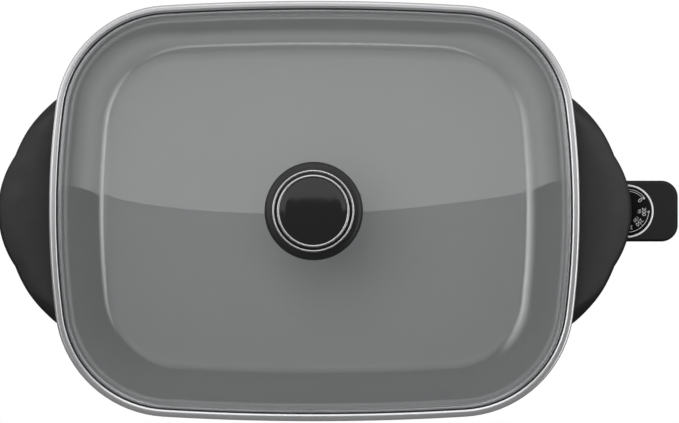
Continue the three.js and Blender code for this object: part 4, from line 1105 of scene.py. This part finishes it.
grip_plate_thickness = 0.0024
grip_plate_belly = 0.0025
grip_plate_half = 0.033
mount_boss = 0.006
plate_boss = 0.0042
plate_hole = 0.0019
plate_edge = 0.0007
plate_gap_inside = 0.00045
plate_gap_outside = 0.00075
hole_start = 0.04
channel_reach = 0.04
grip_plate_top = handle_top - lip_outside + grip_plate_thickness
grip_screw = Vector(((rim_end_x(0, handle_inset) + grip_reach) / 2, 0.024))
pockets = both_sides(
    lambda: leg_prism(handle_wall, leg_inside, handle_top - lip_inside - handle_wall, channel_reach)
)
legs = combine(
    both_sides(lambda: leg_prism(0, leg_bottom, handle_top + 0.01)),
    ("INTERSECT", below_handle_top(handle_wall / 2)),
    ("DIFFERENCE", pockets),
)
boss_top = handle_top - handle_wall / 2
bosses = gathered(
    both_sides(lambda: peg(mount_boss, lug_top + fit, boss_top, *lug_place)),
    both_sides(lambda: peg(plate_boss, grip_plate_top + fit, boss_top, *grip_screw)),
)
holes = gathered(
    both_sides(lambda: peg(foot_stem + fit, 0, leg_inside + 0.001, *leg_middle.xy)),
    both_sides(lambda: peg(lug_hole, hole_start, handle_top - handle_wall, *lug_place)),
    both_sides(lambda: peg(plate_hole, hole_start, handle_top - handle_wall, *grip_screw)),
)
handle_mesh = combine(
    handle_solid(),
    ("DIFFERENCE", below_handle_top(handle_wall, handle_wall)),
    ("UNION", bosses),
    ("UNION", legs),
    ("DIFFERENCE", holes),
)


def grip_plate():
    """A bellied plate that closes the underside of the grip, where the fingers go."""
    bm = bmesh.new()
    bmesh.ops.create_grid(bm, x_segments=14, y_segments=28, size=0.5)
    for v in bm.verts:
        y = v.co.y * 2 * grip_plate_half
        near = rim_end_x(y, handle_inset) + handle_wall + plate_gap_inside
        far = handle_reach(y) - handle_wall - plate_gap_outside
        across = v.co.x * 2
        sag = grip_plate_belly * (1 - across**4)
        v.co = (near + (far - near) * (v.co.x + 0.5), y, grip_plate_top - grip_plate_thickness - sag)
    edge = [e for e in bm.edges if e.is_boundary]
    points, ring = next_ring(bm, edge)
    for v in points:
        v.co.z = grip_plate_top
    bmesh.ops.contextual_create(bm, geom=ring)
    tidy(bm)
    soften(bm, edge, plate_edge, 2)
    return bm


foot_radius = 0.007
foot_height = 0.003
rubber = new_material("black_rubber", (0.016, 0.016, 0.016), 0.8, 0.0, 0.25)
vary_color(rubber, (0.012, 0.012, 0.012), (0.022, 0.022, 0.021), 300.0)
add_grain(rubber, 1600.0, 0.3)
plate_mesh = grip_plate()
foot_mesh = turn(
    [
        (0, 0),
        (foot_radius - 0.0008, 0, 0.0005),
        (foot_radius, 0.0012),
        (foot_radius, foot_height, 0.0005),
        (foot_stem, foot_height),
        (foot_stem, leg_inside - 0.001),
        (0, leg_inside - 0.001),
    ],
    48,
)
screw_end = handle_top - 0.0046
mount_screw = screw(0.002, screw_end - (lug_top - lug_thickness), 0.0039, 0.0026)
plate_under = grip_plate_top - grip_plate_thickness - grip_plate_belly
plate_screw = screw(0.0016, screw_end - plate_under, *small_head)
for end, matrix, front in (("right", right_end, -1), ("left", left_end, 1)):
    moulding = placed(handle_mesh.copy(), matrix)
    finish_piece(f"{end}_moulding", moulding, plastic, "skillet", "handle_plastic", f"{end}_handle")
    plate = placed(plate_mesh.copy(), matrix)
    finish_piece(f"{end}_under_grip", plate, plastic, "skillet", "handle_plastic", f"{end}_grip_plate")
    for place, side in (("front", front), ("rear", -front)):
        spot = matrix @ Matrix.Translation((leg_middle.x, side * leg_middle.y, 0))
        foot = placed(foot_mesh.copy(), spot)
        finish_piece(f"{end}_pad_{place}", foot, rubber, "skillet", "black_rubber", f"{end}_foot_{place}")
        seat = matrix @ Matrix.Translation((lug_place.x, side * lug_place.y, lug_top - lug_thickness - fit))
        drive(f"{end}_mount_fixing_{place}", mount_screw, seat, "skillet", f"{end}_handle_screw_{place}")
        seat = matrix @ Matrix.Translation((grip_screw.x, side * grip_screw.y, plate_under - fit))
        drive(f"{end}_grip_fixing_{place}", plate_screw, seat, "skillet", f"{end}_grip_screw_{place}")

# Lid band
# A rolled strip of brushed stainless steel that holds the glass, rests on the pan's rim and drops a
# tongue inside it. Its top slopes down at both edges, so each draws a bright line.
band_sheet = 0.0013
band_lip = 0.0055
band_foot = 0.009
band_base = pan_rim + fit
band_top = band_high.z

steel = new_material("brushed_band", (0.47, 0.47, 0.48), 0.2, 0.55)
vary_roughness(steel, 0.19, 0.22, 12.0)


def lid_band():
    wall = band_sheet + 0.00015
    profile = [
        (0.0, band_base),
        (0.0, band_top - 0.001),
        (0.0005, band_top - 0.0003),
        (0.0017, band_top),
        (band_lip - 0.0015, band_top),
        (band_lip - 0.0002, band_top - 0.0005),
        (band_lip, band_top - 0.0009),
        (band_lip, band_top - band_sheet),
        (wall, band_top - band_sheet),
        (wall, band_base + band_sheet),
        (band_foot + band_sheet, band_base + band_sheet),
        (band_foot + band_sheet, band_low.z),
        (band_foot, band_low.z),
        (band_foot, band_base),
    ]
    bm = bmesh.new()
    rings = sweep(bm, rim_ring, profile)
    bmesh.ops.bridge_loops(bm, edges=rings[0] + rings[-1])
    tidy(bm)
    soften(bm, rings[1] + rings[2] + rings[3] + rings[4], 0.0003, 2)
    soften(bm, rings[5] + rings[6], 0.00015, 2)
    return bm


finish_piece("band", placed(lid_band(), right_end), steel, "lid", "band_steel", "lid_rim")

# Lid glass
# Clear tempered glass, pressed to a skirt that bends over to a ridge, and a shallow crown with a hole for
# the knob's screw. Its flat edge lies in the band, on a thin black bead beside the lip: partly a seal,
# partly painted shade that stands for the shaded seam between the lip and the glass.
glass_low, glass_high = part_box("lid_glass")
glass_thickness = 0.0036
glass_edge_inset = 0.002
glass_foot_inset = 0.0076
glass_foot = glass_low.z + glass_thickness
ridge_inset_along = 0.0445
ridge_inset_across = 0.035
ridge_corner = 0.066
skirt_rise = 0.025
skirt_bend = 1.6
skirt_rings = 20
crown_rise = 0.007
crown_rings = 14
knob_hole = 0.0036
glass_foot_bend = 0.0015

glass = new_material("tempered_glass", (0.93, 0.94, 0.94), 0.0)


def make_clear(material):
    """Light for what lies behind the glass goes straight through it; the eye still sees it bend."""
    tree = material.node_tree
    shader = tree.nodes["Principled BSDF"]
    shader.inputs["Transmission Weight"].default_value = 1
    shader.inputs["IOR"].default_value = 1.5
    clear = tree.nodes.new("ShaderNodeBsdfTransparent")
    clear.inputs["Color"].default_value = (0.9, 0.91, 0.91, 1)
    path = tree.nodes.new("ShaderNodeLightPath")
    either = number_node(tree, "MAXIMUM", path.outputs["Is Shadow Ray"], path.outputs["Is Diffuse Ray"])
    blend_shaders(tree, either, shader, clear)


make_clear(glass)


def ring_order(bm):
    """The points of a ring in order, from the one furthest along X, to the rear first."""
    first = max(bm.verts, key=lambda v: v.co.x)
    order = [first, max((e.other_vert(first) for e in first.link_edges), key=lambda v: v.co.y)]
    while len(order) < len(bm.verts):
        beside = [e.other_vert(order[-1]) for e in order[-1].link_edges]
        order.append(next(v for v in beside if v != order[-2]))
    return order


def lid_pane():
    bm = bmesh.new()
    rim_ring(bm, glass_edge_inset, glass_foot)
    bm.verts.layers.float_vector.new("ridge")
    start = bm.verts.layers.float_vector.new("start")
    goal = bm.verts.layers.float_vector["ridge"]
    pattern = bmesh.new()
    bowed_ring(
        pattern,
        rim_half_length - ridge_inset_along,
        rim_half_width - ridge_inset_across,
        long_edge_bow,
        end_edge_bow,
        ridge_corner,
        0,
    )
    for v, ridge_point in zip(ring_order(bm), ring_order(pattern)):
        v[goal] = ridge_point.co
    pattern.free()
    outward = bm.verts.layers.float_vector["outward"]
    points, ring = next_ring(bm, bm.edges[:])
    foot_ring = ring
    for v in points:
        v.co += v[outward] * (glass_edge_inset - glass_foot_inset)
        v[start] = v.co
    for number in range(1, skirt_rings + 1):
        share = number / skirt_rings
        points, ring = next_ring(bm, ring)
        for v in points:
            v.co = Vector(v[start]).lerp(Vector(v[goal]), share)
            v.co.z = glass_foot + skirt_rise * (1 - (1 - share) ** skirt_bend)
    for number in range(1, crown_rings):
        share = 1 - number / crown_rings
        points, ring = next_ring(bm, ring)
        for v in points:
            v.co = Vector(v[goal]) * share
            v.co.z = glass_foot + skirt_rise + crown_rise * (1 - share**2)
    points, ring = next_ring(bm, ring)
    for v in points:
        v.co = Vector(v[goal]).normalized() * knob_hole
        v.co.z = glass_foot + skirt_rise + crown_rise
    bmesh.ops.recalc_face_normals(bm, faces=bm.faces)
    if sum(f.normal.z for f in bm.faces) < 0:
        bmesh.ops.reverse_faces(bm, faces=bm.faces)
    soften(bm, foot_ring, glass_foot_bend)
    bmesh.ops.solidify(bm, geom=bm.faces[:], thickness=glass_thickness)
    return bm


finish_piece("pane", placed(lid_pane(), right_end), glass, "lid", "lid_glass", "lid_glass")


def lid_bead():
    """The part of the bead that shows, from just under the lip to the glass. Its black is partly a seal's
    own and partly painted shade along the seam.
    """
    low, high = glass_foot - 0.0002, glass_foot + 0.0009
    hidden, shown = band_lip - 0.0003, band_lip + 0.0009
    profile = [(hidden, low), (hidden, high), (shown - 0.0001, high - 0.0003), (shown, low)]
    bm = bmesh.new()
    rings = sweep(bm, rim_ring, profile)
    bmesh.ops.bridge_loops(bm, edges=rings[0] + rings[-1])
    tidy(bm)
    return bm


# The black bead is partly a seal and partly painted shade for the seam beside the lip.
finish_piece("glass_bead_and_seam_shade", placed(lid_bead(), right_end), rubber, "lid", "black_rubber")

# Knob
# Black moulding in two parts: a satin foot on the glass, and a smoother head with a waist for the
# fingers. Two bright rings are pressed into its top round a glossy cap. A screw holds it from below.
knob_seat = glass_high.z
foot_ring_radius = 0.0362
foot_ring_height = 0.0056
head_radius = 0.0296
waist_radius = 0.0134
head_top = 0.0254
spigot_radius = 0.006
screw_bore = 0.0027
screw_bore_depth = 0.0103
trim_ring_width = 0.0015
trim_ring_height = 0.0025
cap_radius = 0.0262
cap_ring_width = 0.0018
cap_ring_height = 0.0029
cap_thickness = 0.0022
gasket_radius = 0.009
gasket_thickness = 0.0015
washer_radius = 0.008
washer_thickness = 0.001

gloss = new_material("gloss_black", (0.018, 0.018, 0.0186), 0.05, 0.0, 0.48)
vary_roughness(gloss, 0.05, 0.1, 200.0)
satin = new_material("satin_black", (0.022, 0.022, 0.0228), 0.32, 0.0, 0.22)
vary_roughness(satin, 0.28, 0.38, 90.0)
add_grain(satin, 2600.0, 0.1)
trim = new_material("satin_trim", (0.5, 0.5, 0.5), 0.3, 0.9)
vary_roughness(trim, 0.24, 0.34, 300.0)
silicone = new_material("silicone", (0.5, 0.5, 0.47), 0.55)
silicone.node_tree.nodes["Principled BSDF"].inputs["Subsurface Weight"].default_value = 0.2
vary_roughness(silicone, 0.5, 0.62, 400.0)
on_crown = Matrix.Translation((pan_centre.x, pan_centre.y, knob_seat))

knob_foot = turn(
    [
        (spigot_radius + fit, fit),
        (foot_ring_radius - 0.0012, fit, 0.0004),
        (foot_ring_radius, 0.0016),
        (foot_ring_radius, 0.0026, 0.0008),
        (foot_ring_radius - 0.0022, 0.0042, 0.0012),
        (0.0205, foot_ring_height, 0.002),
        (spigot_radius + fit, foot_ring_height),
    ],
    128,
)
finish_piece("knob_foot", placed(knob_foot, on_crown), satin, "lid", "knob_plastic", "knob_base")
head_start = foot_ring_height + fit
knob_head = turn(
    [
        (0, head_start + screw_bore_depth),
        (screw_bore, head_start + screw_bore_depth),
        (screw_bore, fit),
        (spigot_radius, fit),
        (spigot_radius, head_start),
        (waist_radius + 0.0016, head_start, 0.0006),
        (waist_radius, head_start + 0.0035, 0.002),
        (waist_radius + 0.0004, head_start + 0.009, 0.0025),
        (0.0225, head_start + 0.0145, 0.004),
        (head_radius - 0.0004, head_start + 0.0172, 0.0018),
        (head_radius, head_top - 0.0002, 0.0003),
        (head_radius - 0.0002, head_top),
        (0, head_top),
    ],
    128,
    4,
)
head_black = new_material("head_black", (0.014, 0.014, 0.0145), 0.14, 0.0, 0.3)
vary_roughness(head_black, 0.11, 0.17, 200.0)
finish_piece("knob_head", placed(knob_head, on_crown), head_black, "lid", "knob_plastic", "knob_body")


def pressed_ring(outer, width, height):
    low = head_top + fit
    return turn(
        [
            (outer - width, low),
            (outer, low),
            (outer, low + height, width * 0.35),
            (outer - width, low + height, width * 0.35),
        ],
        128,
        4,
    )


outer_ring = placed(pressed_ring(head_radius, trim_ring_width, trim_ring_height), on_crown)
finish_piece("head_ring", outer_ring, trim, "lid", "satin_trim", "knob_trim_ring")
inner_ring = placed(pressed_ring(cap_radius, cap_ring_width, cap_ring_height), on_crown)
finish_piece("inset_ring", inner_ring, trim, "lid", "satin_trim", "knob_cap_ring")
cap_edge = cap_radius - cap_ring_width - fit
cap_top = head_top + fit + cap_thickness
cap = turn(
    [
        (0, head_top + fit),
        (cap_edge, head_top + fit),
        (cap_edge, cap_top - 0.0004, 0.0003),
        (cap_edge * 0.66, cap_top - 0.0001, 0.004),
        (0, cap_top),
    ],
    128,
    4,
)
finish_piece("cap", placed(cap, on_crown), gloss, "lid", "knob_plastic", "knob_cap")
gasket_top = -glass_thickness - fit
gasket_bottom = gasket_top - gasket_thickness
washer_top = gasket_bottom - fit
washer_bottom = washer_top - washer_thickness


def flat_ring(outer, low, high, rounding):
    """A washer's plain ring, rounded outside at both edges."""
    return turn([(screw_bore, low), (outer, low, rounding), (outer, high, rounding), (screw_bore, high)])


gasket = placed(flat_ring(gasket_radius, gasket_bottom, gasket_top, 0.0004), on_crown)
finish_piece("sealing_ring", gasket, silicone, "lid", "seal_rubber", "knob_gasket")
washer = placed(flat_ring(washer_radius, washer_bottom, washer_top, 0.0002), on_crown)
finish_piece("flat_washer", washer, bright, "lid", "bright_steel", "knob_washer")
knob_fixing = screw(0.0024, 0.015 - washer_bottom, 0.005, 0.0026)
under_washer = on_crown @ Matrix.Translation((0, 0, washer_bottom - fit))
drive("knob_fixing", knob_fixing, under_washer, "lid", "knob_screw")

# Temperature control: casing
# Two black mouldings that part just above the plug's axis: an open-topped base and a cover. The far
# corners are large, the near ones small. Four screws from below hold them together.
case_low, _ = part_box("casing_base")
_, cover_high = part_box("casing_cover")
case_start = case_low.x
case_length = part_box("casing_base")[1].x - case_start
case_half_width = 0.0241
case_below = 0.013
case_above = 0.021
case_parting = 0.0043
case_wall = 0.0022
case_corner = 0.013
case_near_corner = 0.003
case_edge = 0.0022
case_border = 0.0026
nose_half_width = 0.017
nose_half_height = 0.0095
gland_drop = 0.0025
gland_radius = 0.006
gland_length = 0.009
spindle_bore = 0.0032
at_control = Matrix.Translation((case_start, 0, plug_height))

control_plastic = new_material("control_black", (0.008, 0.008, 0.0083), 0.45, 0.0, 0.2)
vary_color(control_plastic, (0.0065, 0.0065, 0.0068), (0.0085, 0.0085, 0.0088), 500.0)
vary_roughness(control_plastic, 0.4, 0.5, 80.0)
add_grain(control_plastic, 2600.0, 0.2)


def case_ring(bm, inset, z):
    """The casing's outline, drawn about its middle as one half and mirrored."""
    half_length = case_length / 2 - inset
    half_width = case_half_width - inset
    large = case_corner - inset
    small = max(case_near_corner - inset, fit)
    quarter = math.pi / 2
    last = bm.verts.new((half_length, 0, z))
    last = run_to(bm, last, half_length, half_width - large)
    last = turn_about(bm, last, half_length - large, half_width - large, quarter, 14)
    last = run_to(bm, last, small - half_length, half_width)
    last = turn_about(bm, last, small - half_length, half_width - small, quarter, 5)
    run_to(bm, last, -half_length, 0)
    mirrored(bm, "Y")
    mark_outward(bm)


def case_half(parting, end):
    """An open shell from the parting line to a closed end."""
    bm = bmesh.new()
    rings = sweep(bm, case_ring, [(0, parting), (0, end)])
    close_ring(bm, rings[1], case_border)
    tidy(bm)
    soften(bm, rings[1], case_edge, 5)
    bmesh.ops.recalc_face_normals(bm, faces=bm.faces)
    bmesh.ops.solidify(bm, geom=bm.faces[:], thickness=case_wall)
    bmesh.ops.translate(bm, vec=(case_length / 2, 0, 0), verts=bm.verts)
    return bm


def nose_opening():
    reach = nose_half_width + fit
    high = nose_half_height + fit
    return block((-0.002, -reach, -high), (case_wall + 0.002, reach, high))


gland_opening = along_x(peg(gland_radius + fit, -gland_length, 0.002), case_length, 0, -gland_drop)
case_screw_rows = ((0.00756, 0.0172), (case_length - 0.0105, 0.015))
case_screw_spots = [(x, side * y) for x, y in case_screw_rows for side in (1, -1)]
screw_holes = gathered(
    *[peg(small_screw_hole, -case_below - 0.002, case_parting, x, y) for x, y in case_screw_spots]
)
base_mesh = combine(
    case_half(case_parting, -case_below),
    ("DIFFERENCE", nose_opening()),
    ("DIFFERENCE", gland_opening),
    ("DIFFERENCE", screw_holes),
)
base_mesh = placed(base_mesh, at_control)
finish_piece("case_base", base_mesh, control_plastic, "control", "control_plastic", "casing_base")
bezel_low, bezel_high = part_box("dial_bezel")
dial_x = (bezel_low.x + bezel_high.x) / 2
spindle_hole = peg(spindle_bore, 0, case_above + 0.002, dial_x - case_start)
cover_mesh = combine(
    case_half(case_parting + 2 * fit, case_above),
    ("DIFFERENCE", nose_opening()),
    ("DIFFERENCE", spindle_hole),
)
cover_mesh = placed(cover_mesh, at_control)
finish_piece("case_cover", cover_mesh, control_plastic, "control", "control_plastic", "casing_cover")
case_screw = screw(0.0015, case_below + case_above - 2 * case_wall, *small_head)
for number, (x, y) in enumerate(case_screw_spots, 1):
    seat = at_control @ Matrix.Translation((x, y, -case_below - fit))
    drive(f"case_fixing_{number}", case_screw, seat, "control", f"casing_screw_{number}")

# Temperature control: nose, sockets, sensing rod and gland
# The nose goes into the guard. Its brass sockets take the pins, and the plated rod reaches into a well
# under the pan's floor. A rubber gland lines the hole for a cord at the far end.
nose_length = 0.014
nose_inside = case_wall + 0.0033
socket_bore = 0.0027
socket_radius = 0.004
nose = block(
    (-nose_length, -nose_half_width, -nose_half_height),
    (nose_inside, nose_half_width, nose_half_height),
    0.0012,
)
nose_flange = block(
    (case_wall + fit, -nose_half_width - 0.002, -nose_half_height - 0.001),
    (nose_inside, nose_half_width + 0.002, nose_half_height + 0.002),
    0.0005,
    2,
)
bores = [along_x(peg(rod_radius + fit, -0.02, 0.02), 0, 0, 0)]
bores += [along_x(peg(socket_radius + fit, -0.02, 0.02), 0, side * pin_aside, 0) for side in (-1, 1)]
nose = combine(nose, ("UNION", nose_flange), ("DIFFERENCE", gathered(*bores)))
nose = placed(nose, at_control)
finish_piece("nose_block", nose, control_plastic, "control", "control_plastic", "socket_block")

brass = new_material("contact_brass", (0.62, 0.44, 0.2), 0.34, 1.0)
vary_color(brass, (0.5, 0.35, 0.16), (0.68, 0.5, 0.24), 180.0)
vary_roughness(brass, 0.26, 0.42, 250.0)
for place, side in (("front", -1), ("rear", 1)):
    socket = turn(
        [
            (socket_bore, fit - nose_length, 0.0005),
            (socket_radius, fit - nose_length, 0.0004),
            (socket_radius, 0.003),
            (socket_bore, 0.003),
        ],
        40,
    )
    socket = placed(along_x(socket, 0, side * pin_aside, 0), at_control)
    finish_piece(f"socket_{place}", socket, brass, "control", "contact_brass", f"socket_contact_{place}")
rod_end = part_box("sensor_rod")[1].x - case_start
rod = turn([(0, -rod_reach), (rod_radius, -rod_reach, 0.0024), (rod_radius, rod_end), (0, rod_end)], 40, 6)
rod = placed(along_x(rod, 0, 0, 0), at_control)
finish_piece("sensing_rod", rod, bright, "control", "bright_steel", "sensor_rod")
gland_bore = 0.0042
gland_flange = gland_radius + 0.0016
gland = turn(
    [
        (gland_bore, -gland_length),
        (gland_flange, -gland_length),
        (gland_flange, -case_wall - fit),
        (gland_radius, -case_wall - fit),
        (gland_radius, 0, 0.0006),
        (gland_bore, 0, 0.0009),
    ]
)
gland = placed(along_x(gland, case_length, 0, -gland_drop), at_control)
finish_piece("cord_hole_gland", gland, rubber, "control", "black_rubber", "cord_gland")

# Temperature control: dial
# A satin black dial with a grip bar and pale printing, in a white ring on the cover. It turns on a
# steel spindle. Its numbers are plain temperatures in the two common scales.
dial_radius = 0.0191
dial_thickness = 0.0044
dial_edge = 0.0009
bar_half_width = 0.003
bar_half_length = 0.0105
bar_height = 0.005
bar_corner = 0.0022
bar_edge = 0.0009
print_thickness = 0.00006
first_mark = -2
mark_step = 42
last_mark = -240
scale_radius = 0.0166
scale_line = 0.00045
tick_radius = 0.0161
tick_length = 0.0014
cold_radii = (0.0171, 0.0156)
cold_span = (130, 38)
cold_line = 0.00035
zero_height, zero_radius, zero_angle = 0.0052, 0.0129, 41
dot_size = 0.0009
large_numeral, large_numeral_radius = 0.0044, 0.0128
small_numeral, small_numeral_radius = 0.0034, 0.0092
tick_half_angle = 0.8
on_cover = Matrix.Translation((dial_x, 0, cover_high.z))

white_ring = new_material("white_ring", (0.94, 0.94, 0.94), 0.4, 0.0)
vary_roughness(white_ring, 0.35, 0.45, 300.0)
print_ink = new_material("pale_print", (0.62, 0.62, 0.62), 0.5)
vary_color(print_ink, (0.58, 0.58, 0.58), (0.66, 0.66, 0.66), 900.0)
bezel_inner = dial_radius + fit
bezel_outer = bezel_inner + 0.0015
bezel_top = fit + 0.0026
bezel = turn(
    [
        (bezel_inner, fit),
        (bezel_outer, fit),
        (bezel_outer, bezel_top, 0.0005),
        (bezel_inner, bezel_top, 0.0005),
    ],
    96,
)
finish_piece("dial_ring", placed(bezel, on_cover), white_ring, "control", "satin_trim", "dial_bezel")
dial_face = fit + dial_thickness
disc = turn([(0, fit), (dial_radius, fit), (dial_radius, dial_face, dial_edge), (0, dial_face)], 96, 4)
bar = block(
    (-bar_half_width, -bar_half_length, dial_face - 0.001),
    (bar_half_width, bar_half_length, dial_face + bar_height),
)
soften(bar, edges_along(bar, 2, bar_height / 2), bar_corner, 5)
soften(bar, [e for e in sharp_edges(bar) if min(v.co.z for v in e.verts) > dial_face], bar_edge)
spindle_socket = peg(spindle_bore, -0.002, 0.0029)
disc = combine(disc, ("UNION", bar), ("DIFFERENCE", spindle_socket))
dial_black = new_material("dial_black", (0.003, 0.003, 0.003), 0.3, 0.0, 0.06)
vary_roughness(dial_black, 0.26, 0.34, 200.0)
finish_piece("dial_knob", placed(disc, on_cover), dial_black, "dial", "knob_plastic", "dial")


def arc_print(radius, width, start, end):
    """A printed arc, from the radius of its middle and two angles in degrees."""
    bm = bmesh.new()
    low = bm.verts.new((radius - width / 2, 0, 0))
    high = bm.verts.new((radius + width / 2, 0, 0))
    line = bm.edges.new((low, high))
    steps = max(2, int(abs(end - start) / 4))
    angle = math.radians(end - start)
    bmesh.ops.spin(bm, geom=[low, high, line], cent=(0, 0, 0), axis=(0, 0, 1), angle=angle, steps=steps)
    return placed(bm, Matrix.Rotation(math.radians(start), 4, "Z"))


def dot_print(radius, size, angle):
    bm = bmesh.new()
    bmesh.ops.create_circle(bm, cap_ends=True, radius=size, segments=20)
    way = Matrix.Rotation(math.radians(angle), 4, "Z")
    return placed(bm, way @ Matrix.Translation((radius, 0, 0)))


def number_print(text, height, radius, angle):
    """A number whose top points outwards."""
    letters = bpy.data.curves.new("number", "FONT")
    letters.body = text
    letters.size = height
    letters.align_x = "CENTER"
    letters.align_y = "CENTER"
    stand = bpy.data.objects.new("number", letters)
    bpy.context.scene.collection.objects.link(stand)
    graph = bpy.context.evaluated_depsgraph_get()
    mesh = bpy.data.meshes.new_from_object(stand.evaluated_get(graph))
    bpy.data.objects.remove(stand)
    bm = bmesh.new()
    bm.from_mesh(mesh)
    bpy.data.meshes.remove(mesh)
    way = Matrix.Rotation(math.radians(angle), 4, "Z") @ Matrix.Translation((radius, 0, 0))
    return placed(bm, way @ Matrix.Rotation(-math.pi / 2, 4, "Z"))


prints = [arc_print(radius, cold_line, *cold_span) for radius in cold_radii]
prints += [
    dot_print(sum(cold_radii) / 2, dot_size, 38.5),
    number_print("0", zero_height, zero_radius, zero_angle),
    arc_print(scale_radius, scale_line, first_mark, last_mark),
    dot_print(0.0165, dot_size, first_mark),
]
for step in range(6):
    angle = first_mark - mark_step * step
    heat = 200 + 50 * step
    prints.append(number_print(str(heat), large_numeral, large_numeral_radius, angle))
    if abs(angle + 90) > mark_step / 2:
        metric = str(5 * round((heat - 32) / 9))
        prints.append(number_print(metric, small_numeral, small_numeral_radius, angle + 1))
    prints.append(arc_print(tick_radius, tick_length, angle + tick_half_angle, angle - tick_half_angle))
marks = gathered(*prints)
raised = points_among(bmesh.ops.extrude_face_region(marks, geom=marks.faces[:])["geom"])
bmesh.ops.translate(marks, vec=(0, 0, print_thickness), verts=raised)
bmesh.ops.translate(marks, vec=(0, 0, dial_face), verts=marks.verts)
tidy(marks)
finish_piece("dial_print", placed(marks, on_cover), print_ink, "dial", "satin_trim")
pointer_half_width = 0.0004
bar_top = dial_face + bar_height
pointer = block(
    (-pointer_half_width, bar_half_length - 0.006, bar_top - 0.0001),
    (pointer_half_width, bar_half_length - 0.0012, bar_top + 0.00004),
)
finish_piece("dial_pointer", placed(pointer, on_cover), print_ink, "dial", "satin_trim")

# Temperature control: working parts inside
# The spindle presses a spring arm onto a blade that bends with heat. These parts keep their own shape
# from the frame and get the finish of plated steel, brass or ceramic.
inside = (
    (bright, ("dial_spindle", "thermostat_frame")),
    (ceramic, ("contact_stack", "terminal_block")),
    (brass, ("bimetal_blade", "contact_arm", "busbar_front", "busbar_rear")),
)
for material, names in inside:
    for name in names:
        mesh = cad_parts[name].data
        mesh.materials.clear()
        mesh.materials.append(material)
